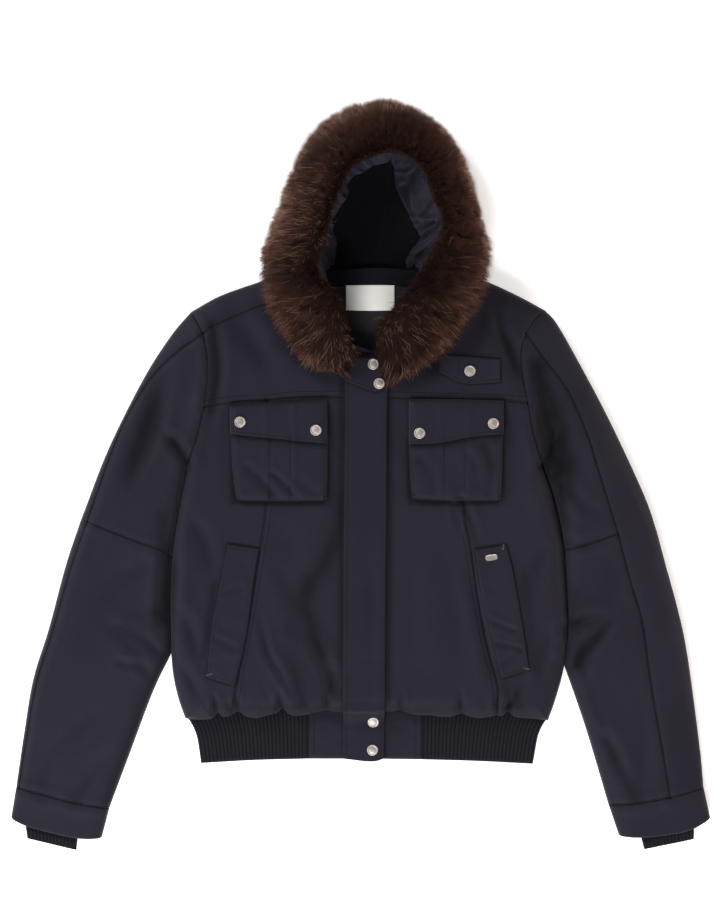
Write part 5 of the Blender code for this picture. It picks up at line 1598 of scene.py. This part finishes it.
def control_points(ribs):
    """The four Bezier points of every rib and its facing share. Ribs that are not drawn are straight."""
    table = points_of(ribs)
    rim, foot, drawn = table[:, :3], table[:, 3:6], table[:, 6:8]
    outward = raised(unit(rim[:, :2] - HOOD_MIDDLE), 0.0)
    near_rim, near_floor = rim + drawn[:, :1] * outward, rim + drawn[:, 1:] * outward
    near_rim[:, 2] -= RIM_DROP
    near_floor[:, 2] = foot[:, 2]
    straight = drawn[:, 0] == 0
    near_rim[straight] = (2 * rim[straight] + foot[straight]) / 3
    near_floor[straight] = (rim[straight] + 2 * foot[straight]) / 3
    return np.hstack([rim, near_rim, near_floor, foot, table[:, 8:]])


def rib_rows(ribs, count):
    """The control points of ribs that are evenly spaced along the rim."""
    dense = smooth_curve(control_points(ribs), 24)
    rim_length = shares_of_length(dense[:, :3])
    return np.stack([np.interp(np.linspace(0, 1, count), rim_length, column) for column in dense.T], axis=1)


def hood_grid(ribs, count, shares):
    """The blended ribs: cubic Bezier points at the given shares, (1-t)³ rim + 3t(1-t)² near rim
    + 3t²(1-t) near floor + t³ foot. Shares have one row for all ribs or one row each."""
    rows = rib_rows(ribs, count)
    t = np.broadcast_to(shares, (count, np.shape(shares)[-1]))[..., None]
    a, b, c, d = [rows[:, None, 3 * k : 3 * k + 3] for k in range(4)]
    return (1 - t) ** 3 * a + 3 * t * (1 - t) ** 2 * b + 3 * t**2 * (1 - t) * c + t**3 * d


def from_seam(points):
    """How far points are beyond the centre seam, towards the wearer's left."""
    return points[..., 0] - np.interp(points[..., 1], CENTRE_SEAM[:, 1], CENTRE_SEAM[:, 0])


def inward_normals(surface):
    """Unit normals of a grid, turned towards the middle of the bowl, and square to the centre seam there."""
    normals = unit(np.cross(np.gradient(surface, axis=0), np.gradient(surface, axis=1)))
    towards = np.array([*HOOD_MIDDLE, 60.0]) - surface
    normals *= np.sign(np.median(np.sum(normals * towards, axis=2)))
    near = np.clip(1 - np.abs(from_seam(surface)) / 14, 0, 1) * (surface[..., 1] > 655)
    normals[..., 0] *= 1 - near
    return unit(normals)


def beside_seam(points, side):
    """The points, kept on their side of the centre seam. Those that nearly reach it end right on it."""
    away = from_seam(points)
    edge = -0.05 * OUTWARD[side]
    limit = np.minimum if side == "right" else np.maximum
    kept = points.copy()
    kept[..., 0] += np.where(np.abs(away) < 1.2, edge, limit(away, edge)) - away
    return kept


# %% Creases of the facing, as seen from above: path, half width, height towards the inside
FACING_CREASES = table_of("""
99 729, 82 730, 60 733: 3.2 4.2
98 724, 84 717, 70 708: 3 3.4
92 726, 78 722, 66 718: 3 -3.6
76 708, 68 706, 60 700: 3.5 -4
46 774, 55 750, 66 728: 5 -3.4
90 756, 82 746, 75 738: 3 -2.6
84 780, 70 764, 62 744: 7 2.6
33 803, 50 800, 62 808: 2.6 -2
70 800, 58 782, 50 764: 5 -2.2
92 700, 78 690, 64 686: 4.5 2.6
84 684, 72 680, 58 668: 4 -2.4
-62 730, -56 722, -46 716: 3 3.2
-60 718, -54 712, -48 704: 3 -2.6
-44 788, -34 776, -28 770: 3.4 -3
-50 768, -42 760, -36 748: 4.5 2.2
-30 804, -16 796, -8 790: 4 2.4
-6 818, 2 808, 6 800: 3.4 -2.4
22 822, 26 812, 27 804: 3.4 -2.6
-70 690, -62 680, -56 668: 4.5 -2.2
""")
print("creases of the facing:", len(FACING_CREASES))


def facing_relief(surface, size, height):
    """How far the facing stands inwards: crumpled noise, and its own creases by their plan paths."""
    flat = surface[..., :2] + surface[..., 2:] * 0.4
    relief = height * (0.8 * crumple(flat, size, 3) + 0.6 * cloth_noise(flat, size * 1.7, 5))
    for path, width, depth in FACING_CREASES:
        away = nearest(smooth_curve(path, 6), surface[..., :2], reach=20)[0] / width
        relief += 1.35 * depth * (bell(away) - 0.3 * bell(away - 2.0))
    return relief


# What shows of the lining, as seen from above. Its edge is scalloped where the facing is puckered to it.
LINING_SHOWN = points_of(
    "-55 650, -52 690, -49 711, -58 717, -57 730, -44 752, -33 770, -38 778, -30 790, -10 799, 0 807, "
    "20 812, 27 816, 31 806, 34 782, 47 754, 56 737, 63 721, 73 708, 64 700, 55 690, 48 679, 50 668, "
    "54 655, 0 630")


def facing_edge(ribs, count):
    """For every rib the share at which it enters the shown lining, or its own share if it never does."""
    steps = np.linspace(0, 1, 240)
    inside = inside_of(LINING_SHOWN, hood_grid(ribs, count, steps)[..., :2])
    own = rib_rows(ribs, count)[:, 12]
    share = np.where(inside.any(axis=1), steps[inside.argmax(axis=1)], own)
    padded = np.pad(share, 2, mode="edge")
    return np.clip(np.convolve(padded, [0.1, 0.2, 0.4, 0.2, 0.1], "valid"), 0.05, 0.99)


def cut_of(surface):
    """The flat cut of a curved sheet in metres: its length along the middle row, and its area over that."""
    across, down = np.diff(surface, axis=0)[:, :-1], np.diff(surface, axis=1)[:-1]
    area = np.linalg.norm(np.cross(across, down), axis=2).sum()
    long = length_of(surface[:, surface.shape[1] // 2])
    return long * MM, area / long * MM


LINING_SEAM = smooth_curve("-46 736, -18 750, 8 757, 34 756, 54 746")
HOOD_COLUMNS, SHELL_ROWS, FACING_ROWS, LINING_ROWS = 190, 44, 56, 28


def facing_form(surface):
    """How far the facing stands in from its plain surface, its distance to seams, and painted shade
    in its creases. It is held flat at the rim."""
    crumpled = facing_relief(surface, 16, 2.2)
    from_rim = np.minimum(np.linspace(0, 1, FACING_ROWS), 0.08) / 0.08
    relief = (np.maximum(crumpled, -0.2) + 0.9) * from_rim
    # Painted shade in the creases of the crumpled facing, up to 0.7.
    return relief, np.full(surface.shape[:2], NO_SEAM), np.clip(-0.22 * crumpled - 0.05, 0, 0.7)


def lining_form(surface):
    """The same for the lining: it is nearly smooth, and has a groove along its own seam."""
    seam, _ = nearest(LINING_SEAM, surface[..., :2])
    relief = 0.5 + 0.6 * cloth_noise(surface[..., :2], 24, 27) - 0.9 * (1 - pillow(seam / 3))
    return np.maximum(relief, -0.4), seam, None


for side, ribs in RIBS.items():
    edge = facing_edge(ribs, HOOD_COLUMNS)[:, None]
    outer = hood_grid(ribs, HOOD_COLUMNS, np.linspace(0, 1, SHELL_ROWS))
    inward = inward_normals(outer)
    flat = outer[..., :2] + outer[..., 2:] * 0.6
    on_floor = np.clip(outer[..., 2] / 12, 0, 1)
    swell = -(1.1 * cloth_noise(flat, 34, 15) + 0.9 * crumple(flat, 30, 17)) * on_floor
    shell = cushion(f"hood_side_{side}",
                    beside_seam(outer + (np.minimum(swell, 1.0)[..., None] + 0.3) * inward, side),
                    beside_seam(outer + HOOD_WALL * inward, side))
    facing_shares = np.linspace(0, 1, FACING_ROWS) * edge
    lining_shares = edge + 0.004 + np.linspace(0, 1, LINING_ROWS) * (0.996 - edge)
    for name, shares, form, finish, slot, held in (
        ("facing", facing_shares, facing_form, FACING[side], "shell", "gathered"),
        ("lining", lining_shares, lining_form, LINING, "lining", "laid"),
    ):
        surface = hood_grid(ribs, HOOD_COLUMNS, shares)
        inward = inward_normals(surface)
        relief, seam, painted_darkness = form(surface)
        back_face = surface + INNER_START * inward
        front_face = surface + (INNER_START + CLOTH_WALL + relief)[..., None] * inward
        along, down = np.linspace(0, 0.36, HOOD_COLUMNS), np.linspace(0, 0.09, surface.shape[1])
        metres = np.stack(np.meshgrid(along, down, indexing="ij"), axis=-1).reshape(-1, 2)
        piece = cushion(f"hood_{name}_{side}", beside_seam(front_face, side), beside_seam(back_face, side),
                        finish=finish, slot=slot, seam=seam, hollow=painted_darkness, uv=np.concatenate([metres] * 2))
        cut = cut_of(surface)
        0.98 * cut[0] * cut[1]
print("hood halves made")

# %% [markdown]
# ## The fur ruff
#
# Fur is thousands of hairs, but they lie in locks, and a lock is what the eye sees. A dark body stands for
# the dense underfur. On it grow slender spikes with three sides, each a small lock with a bend: an undercoat,
# a coat, and long guard hairs. All of them are computed at once as arrays. A hair starts on a thin section
# of the ruff and ends on the full section, a little further out and nearer to the ends of the ruff, and
# neighbours share a part of their tips, so they clump.

# %% The ruff as a function
# Inner x, y, outer x, y, then the height of the top, of the inner edge and of the outer edge
RUFF_CURVE = smooth_curve(
    "-20 549 -38 521 66 62 48, -25 572 -82 532 84 63 45, -32 604 -119 576 92 64 45, "
    "-42 630 -143 618 94 64 45, -68 659 -148 676 94 64 42, -57 700 -141 707 94 64 34, "
    "-48 737 -124 755 94 64 30, -34 774 -108 798 94 64 28, -20 796 -80 850 94 64 26, "
    "4 808 -30 884 94 64 25, 28 813 32 892 94 64 25, 50 806 88 864 94 64 26, 68 786 122 822 94 64 28, "
    "79 756 142 768 94 64 30, 92 722 152 722 94 64 34, 74 682 162 682 94 64 42, 52 645 150 626 94 64 45, "
    "27 612 119 577 92 64 45, 4 585 84 541 84 63 46, 8 556 26 508 66 62 50", 16)
RUFF_MIDDLE = (RUFF_CURVE[:, :2] + RUFF_CURVE[:, 2:4]) / 2
RUFF_SHARES, RUFF_LENGTH = shares_of_length(RUFF_MIDDLE), length_of(RUFF_MIDDLE)


def ruff_rows(share):
    """The seven measures of the ruff at shares of its length."""
    return np.stack([np.interp(share, RUFF_SHARES, column) for column in RUFF_CURVE.T], axis=-1)


def ruff_at(share, turn, reach):
    """A point of the ruff: middle - cos(turn)·reach·half width + sin(turn)·reach·height. Turn runs from 0
    at the inner edge over the crown to pi at the outer edge; shares past the ends go straight on."""
    inside = np.clip(share, 0, 1)
    rows, step = ruff_rows(inside), ruff_rows(inside + 0.01) - ruff_rows(inside - 0.01)
    tangent = unit(step[..., :2] + step[..., 2:4])
    inner, outer = rows[..., [0, 1, 5]], rows[..., [2, 3, 6]]
    middle, half = (inner + outer) / 2, (outer - inner) / 2
    point = middle - (np.cos(turn) * reach)[..., None] * half
    point[..., 2] += np.sin(turn) * reach * (rows[..., 4] - middle[..., 2])
    point[..., :2] += tangent * ((share - inside) * RUFF_LENGTH)[..., None]
    return point


def skin_reach(turn):
    """How full the section under the hair is: nearly full at the inner edge, where hair is short, and
    little more than half at the outer edge, where it is long."""
    return 0.92 - 0.36 * (1 - np.cos(turn)) / 2


# %% The dense underfur: a closed body
shares, turn = np.linspace(0.006, 0.994, 150)[:, None], np.linspace(0, np.pi, 22)
size = 0.96 * pillow(np.minimum(shares, 1 - shares) / 0.05) + 0.03
arcs = ruff_at(shares + 0 * turn, turn, skin_reach(turn) * size)
arcs[..., 2] += 6.0 * np.where(turn < np.pi / 2, -1, 1) * (1 - np.sin(turn)) - 3.0 * np.sin(turn)
# Each section closes with a straight row back from the outer edge to the inner one.
back_row = np.linspace(0, 1, 10)[1:-1, None]
body = np.concatenate([arcs, arcs[:, -1:] + back_row * (arcs[:, :1] - arcs[:, -1:])], axis=1)
body[..., 2] += 1.6 * cloth_noise(body[..., :2], 7, 33)
index = np.pad(numbered(body), [(0, 0), (0, 1)], "wrap")
body_faces = facing_out(body.reshape(-1, 3), [grid_faces(index), index[:1, -2::-1], index[-1:, :-1]])

# %% Fur colours: dark at the root, chestnut at the tip, and pale guard hairs
def fur_finish(name):
    """Colour by the hair's own map: its first value is the tone from dark to pale, its second runs from
    root to tip. The brown of a dark lock, the brown of a bright one and a pale hair are blended by tone."""
    made = Finish(name, Specular_IOR_Level=0.06)
    tone, tip = made.across_and_along("OFBake")
    brown = made.mix(tip.between(0.10, 1.0), (0.0040, 0.0018, 0.0015), (0.0100, 0.0040, 0.0031))
    bright = made.mix(tip.between(0.10, 1.0), (0.014, 0.0056, 0.0043), (0.100, 0.041, 0.028))
    pale = made.mix(tip.between(0.0, 0.8), (0.05, 0.026, 0.018), (0.38, 0.245, 0.175))
    colour = made.mix(tone.between(0.0, 0.8), brown, bright)
    colour = made.mix(tone.between(0.82, 1.0), colour, pale)
    return made.finish(Base_Color=colour, Roughness=0.72 - tip * 0.12)


FUR = fur_finish("fur")
underfur = Finish("underfur", Specular_IOR_Level=0.1, Roughness=0.9)
grainy = underfur.noise(700, 3.0)
UNDERFUR = underfur.finish(Base_Color=underfur.mix(grainy, (0.010, 0.0046, 0.0036), (0.022, 0.0100, 0.0076)),
                           Normal=underfur.bump(grainy, 0.0015, 0.8))
new_piece("ruff_underfur", body.reshape(-1, 3), body_faces, UNDERFUR, "fur", ["fur_trim"])
print("ruff:", round(RUFF_LENGTH), "mm round")

# %% Locks: where they grow, and how they are combed
LOCKS = np.random.default_rng(5)
LOCK_COUNT = 1500
lock_share, lock_turn = LOCKS.uniform(0, 1, LOCK_COUNT), LOCKS.uniform(0, np.pi, LOCK_COUNT)
# How much every lock differs from the rest in its reach, its sweep, its combing and its tone
lock_lean = LOCKS.normal(0, 1, (LOCK_COUNT, 4)) * np.clip(lock_turn / 1.6, 0.35, 1)[:, None]
HALF_WIDTH, HIGHEST_HAIR, LOWEST_HAIR = 38.0, 102.0, 16.0
print("locks:", LOCK_COUNT)


def on_skin(share, turn):
    """The skin of the ruff laid out flat, in millimetres."""
    return np.column_stack([share * RUFF_LENGTH, turn * HALF_WIDTH])


def nearest_lock(share, turn):
    """The number of the lock to which each hair belongs."""
    centres = on_skin(lock_share, lock_turn)
    return np.concatenate([np.argmin(((part[:, None] - centres) ** 2).sum(axis=2), axis=1)
                           for part in np.array_split(on_skin(share, turn), 24)])


def combed(share, turn, sweep, lean):
    """Where the tip of a hair points: its share and its turn. Tips lie towards the nearer end of the ruff,
    not at all at the crown and most near the ends, and are swept outwards, most at the outer edge."""
    end = np.abs(2 * share - 1)
    along = np.sign(2 * share - 1) * (0.012 * end**1.2 + 0.006 * np.clip((end - 0.85) / 0.15, 0, 1))
    return (share + along + 4.0 * lean[:, 2] / RUFF_LENGTH,
            turn + sweep * (0.25 + 0.75 * np.sin(turn / 2)) + 0.06 * lean[:, 1])


# %% Hairs as arrays
def spikes(line, thick, flatness=0.5):
    """Three corners round each point of every hair's line, narrowing to one point at its tip: the line plus
    cos(angle)·thickness sideways and sin(angle)·thickness·flatness upwards."""
    count, rings = line.shape[:2]
    ahead = unit(np.gradient(line, axis=1))
    side = unit(np.cross(ahead, [0.0, 0.0, 1.0]))
    angle = (np.pi * (0.5 + np.array([0, 2, 4]) / 3))[:, None]
    section = (np.cos(angle) * side[:, :, None]
               + flatness * np.sin(angle) * np.cross(side, ahead)[:, :, None])
    corners = line[:, :, None] + thick[:, :, None, None] * section
    points = np.concatenate([corners[:, :-1].reshape(count, -1, 3), line[:, -1:]], axis=1)
    index = np.pad(np.arange(3 * (rings - 1)).reshape(-1, 3), [(0, 0), (0, 1)], "wrap")
    tip = np.full(3, index.max() + 1)
    base = points.shape[1] * np.arange(count)[:, None, None]
    faces = [np.stack([index[-1, :-1], index[-1, 1:], tip], axis=1)]
    if rings > 2:
        faces.insert(0, grid_faces(index))
    return points, [(base + group).reshape(-1, group.shape[1]) for group in faces]


def hairs(name, count, seed, reach, width, sweep, clump, tone, rings=4, stray=0.0, first=0.003):
    """A mesh of hairs. A hair's line is a quadratic Bezier curve: root on the skin, tip at its reach and
    partly drawn to the tip of its lock, bent outwards between them."""
    pick = np.random.default_rng(seed)
    share, turn = pick.uniform(0.008, 0.992, count), np.arccos(1 - 1.99 * pick.uniform(first, 1, count))
    lock = nearest_lock(share, turn)
    lean = lock_lean[lock]
    longer = 1 + (0.10 + 1.3 * stray) * (2 * share - 1) ** 4 * (turn > 1.2)
    full = pick.uniform(*reach, count) * longer * (1 + 0.025 * lean[:, 0])
    tip_share, swept = combed(share, turn, sweep, lean)
    # Near the inner edge the hair lies flatter, away from the face.
    swept = np.maximum(swept - 0.22 * bell(turn / 0.35) + pick.normal(0, 0.05 + stray, count), -0.15)
    tip_share = tip_share + pick.normal(0, 2.0 + 14 * stray, count) / RUFF_LENGTH
    lock_full = np.mean(reach) * (1 + 0.025 * lean[:, 0])
    lock_tip = ruff_at(*combed(lock_share[lock], lock_turn[lock], sweep, lean), lock_full)
    root = ruff_at(share, turn, skin_reach(turn) - 0.05)
    tip = (1 - clump) * ruff_at(tip_share, swept, full) + clump * lock_tip
    bend = (root + tip) / 2 + 0.30 * (ruff_at(share, turn, full) - root)
    t = np.linspace(0, 1, rings)
    s = t[None, :, None]
    line = (1 - s) ** 2 * root[:, None] + 2 * s * (1 - s) * bend[:, None] + s**2 * tip[:, None]
    line[..., 2] = np.clip(line[..., 2], LOWEST_HAIR, HIGHEST_HAIR)
    thick = pick.uniform(*width, count)[:, None] / 2 * (1 - t)[None] ** 0.7
    points, faces = spikes(line, thick)
    tones = np.clip(tone(share, turn, pick) + 0.08 * lean[:, 3], 0.02, 0.98)
    root_to_tip = np.append(np.repeat(t[:-1], 3), 1.0)
    maps = np.stack([np.repeat(tones, len(root_to_tip)), np.tile(root_to_tip, count)], axis=1)
    piece = new_piece(name, points.reshape(-1, 3), faces, FUR, "fur", replaced=(), uv=maps)
    piece.data.uv_layers["cloth"].name = "OFBake"
    print(name, count, "hairs,", count * (6 * (rings - 2) + 3), "triangles")


# %% How pale each hair is
FROM_OUTLINE = [0, 0.1, 0.2, 0.3, 0.4, 0.5, 0.6, 0.8, 0.9, 1.0]
CROWN_TONES = [0.88, 0.80, 0.62, 0.44, 0.32, 0.26, 0.24, 0.24, 0.26, 0.30]
SIDE_TONES = [0.80, 0.66, 0.47, 0.33, 0.23, 0.16, 0.13, 0.14, 0.21, 0.34]


def patch_at(share, middle, width):
    """1 at one place along the ruff, fading over a width; both are shares of its length."""
    return bell((share - middle) / width)


def brown_tone(share, turn, pick):
    """Palest at the outline, painted light where light comes through the tips, and darkest at the inner half
    of the two sides and where the ruff bends at the neck, with broad light and dark patches. From the
    wearer's right end to the left one the tone rises from 0.90 to 1.15 times: painted light against the
    stronger lamps on the right."""
    ends = np.abs(2 * share - 1)
    neck = patch_at(share, 0.175, 0.03) + patch_at(share, 0.80, 0.05)
    broad = cloth_noise(on_skin(share, turn), 34, 17)
    inwards = np.clip((1 + np.cos(turn)) / 2 - 0.10, 0, 1)
    side = np.clip((ends - 0.1) / 0.3, 0, 1)
    tone = (1 - side) * np.interp(inwards, FROM_OUTLINE, CROWN_TONES)
    tone += side * np.interp(inwards, FROM_OUTLINE, SIDE_TONES)
    # Painted light: the tone rises from 0.90 to 1.15 times from the wearer's right end of the ruff to the
    # left one.
    tone = tone * (1 + 0.45 * broad) * (0.90 + 0.25 * share) - 0.08 * neck
    tone += 0.12 * patch_at(share, 0.27, 0.06) * np.sin(turn)
    tone *= (1 - 0.5 * patch_at(share, 0.99, 0.06) - 0.3 * patch_at(share, 0.01, 0.03)
             - 0.2 * np.clip((ends - 0.6) / 0.15, 0, 1))
    at_outline = np.clip(1 - 2.5 * inwards, 0, 1)
    tone += (0.10 * patch_at(share, 0.60, 0.07) - 0.25 * patch_at(share, 0.36, 0.09)) * at_outline
    return np.clip(tone * pick.normal(1.0, 0.30, len(share)) + pick.normal(0, 0.03, len(share)), 0.0, 0.93)


def deep_tone(share, turn, pick):
    """The undercoat has the same patches, darker."""
    return 0.7 * brown_tone(share, turn, pick)


def fringe_tone(share, turn, pick):
    """The outermost hairs are chestnut, paler round the crown, with a few pale ones."""
    ends = np.abs(2 * share - 1)
    pale = pick.uniform(0, 1, len(share)) < 0.05 + 0.10 * ends**4
    tone = 0.86 - 0.34 * np.clip((ends - 0.5) / 0.15, 0, 1) - 0.3 * bell((ends - 1) / 0.06)
    return np.where(pale, 0.94, pick.normal(tone, 0.10).clip(0.2, 0.92))


def guard_tone(share, turn, pick):
    """Guard hairs: mostly chestnut, and pale ones most often on the wearer's right side and near the ends."""
    often = (0.55 * patch_at(share, 0.27, 0.08) + 0.5 * patch_at(share, 0.02, 0.07)
             + 0.3 * patch_at(share, 0.93, 0.06) + 0.03)
    count = len(share)
    pale = pick.uniform(0, 1, count) < often
    return np.where(pale, pick.uniform(0.90, 0.98, count), pick.normal(0.4, 0.15, count).clip(0, 0.8))


# %% The six layers: how many, seed, reach, width, sweep, clumping and tone, then rings, stray and first turn
hairs("ruff_undercoat", 60000, 1, (0.80, 0.96), (0.9, 1.5), 0.42, 0.05, deep_tone, 2)
hairs("ruff_coat_deep", 62000, 2, (0.88, 1.02), (0.6, 1.0), 0.48, 0.06, brown_tone, 2)
hairs("ruff_coat", 21500, 3, (0.90, 1.05), (0.5, 0.9), 0.54, 0.10, brown_tone, 3)
hairs("ruff_coat_top", 9500, 6, (0.94, 1.06), (0.35, 0.6), 0.58, 0.12, brown_tone)
hairs("ruff_fringe", 12000, 7, (0.98, 1.18), (0.30, 0.5), 0.30, 0.20, fringe_tone, 3, 0.05, first=0.80)
hairs("ruff_guard", 5000, 4, (1.00, 1.24), (0.28, 0.45), 0.60, 0.20, guard_tone, 5, 0.15)

# %% [markdown]
# ## The studio
#
# The jacket lies on a plain white floor under soft light from all round, strongest from the wearer's right
# and from the hem, so the padding shows its form and there is hardly any shadow. The camera hangs straight
# above it.

# %% Floor, light and camera
FLOOR_HALF, FLOOR_LEVEL = 6.0, -0.0005
WHITE = (1.0, 1.0, 1.0)
floor_mesh = bpy.data.meshes.new("floor")
corners = [(x * FLOOR_HALF, y * FLOOR_HALF, FLOOR_LEVEL) for x, y in ((-1, -1), (1, -1), (1, 1), (-1, 1))]
floor_mesh.from_pydata(corners, [], [(0, 1, 2, 3)])
floor = bpy.data.objects.new("floor", floor_mesh)
bpy.context.scene.collection.objects.link(floor)
paper = Finish("white_paper", Specular_IOR_Level=0.1, Emission_Color=(*WHITE, 1.0), Emission_Strength=0.36)
floor_mesh.materials.append(paper.finish(
    Base_Color=paper.mix(paper.noise(3, 2.0), (0.93, 0.93, 0.93), (0.95, 0.95, 0.95)), Roughness=0.9))


def softbox(name, place, size, watts, colour=WHITE):
    """A square area light that faces the middle of the floor."""
    light = bpy.data.lights.new(name, "AREA")
    light.shape, light.size, light.energy, light.color = "SQUARE", size, watts, colour
    box = bpy.data.objects.new(name, light)
    box.location = place
    box.rotation_euler = Vector(place).to_track_quat("Z", "Y").to_euler()
    bpy.context.scene.collection.objects.link(box)


softbox("softbox_upper_left", (-2.1, 2.2, 2.0), 1.4, 105)
softbox("softbox_hem_side", (-0.5, -2.4, 2.0), 1.6, 125)
softbox("softbox_left", (-2.8, -0.8, 0.9), 1.2, 45)
softbox("softbox_right", (2.8, 0.2, 0.9), 1.2, 55, colour=(1.0, 0.84, 0.74))
world = bpy.data.worlds.new("studio")
world.use_nodes = True
sky = world.node_tree.nodes["Background"].inputs
sky["Color"].default_value, sky["Strength"].default_value = (*WHITE, 1.0), 0.38
bpy.context.scene.world = world
bpy.context.scene.view_settings.view_transform = "Standard"

LENS, SENSOR, FRAME_HEIGHT, AIM_HEIGHT = 100.0, 36.0, 1.2393, 0.030
camera = bpy.data.objects.new("camera", bpy.data.cameras.new("camera"))
camera.data.lens, camera.data.sensor_width = LENS, SENSOR
camera.data.sensor_fit = "AUTO"
camera.location = (-0.0009, 0.0199, AIM_HEIGHT + FRAME_HEIGHT * LENS / SENSOR)
camera.data.clip_end = 30.0
bpy.context.scene.collection.objects.link(camera)
bpy.context.scene.camera = camera
print("camera", round(camera.location.z, 2), "m above the floor")
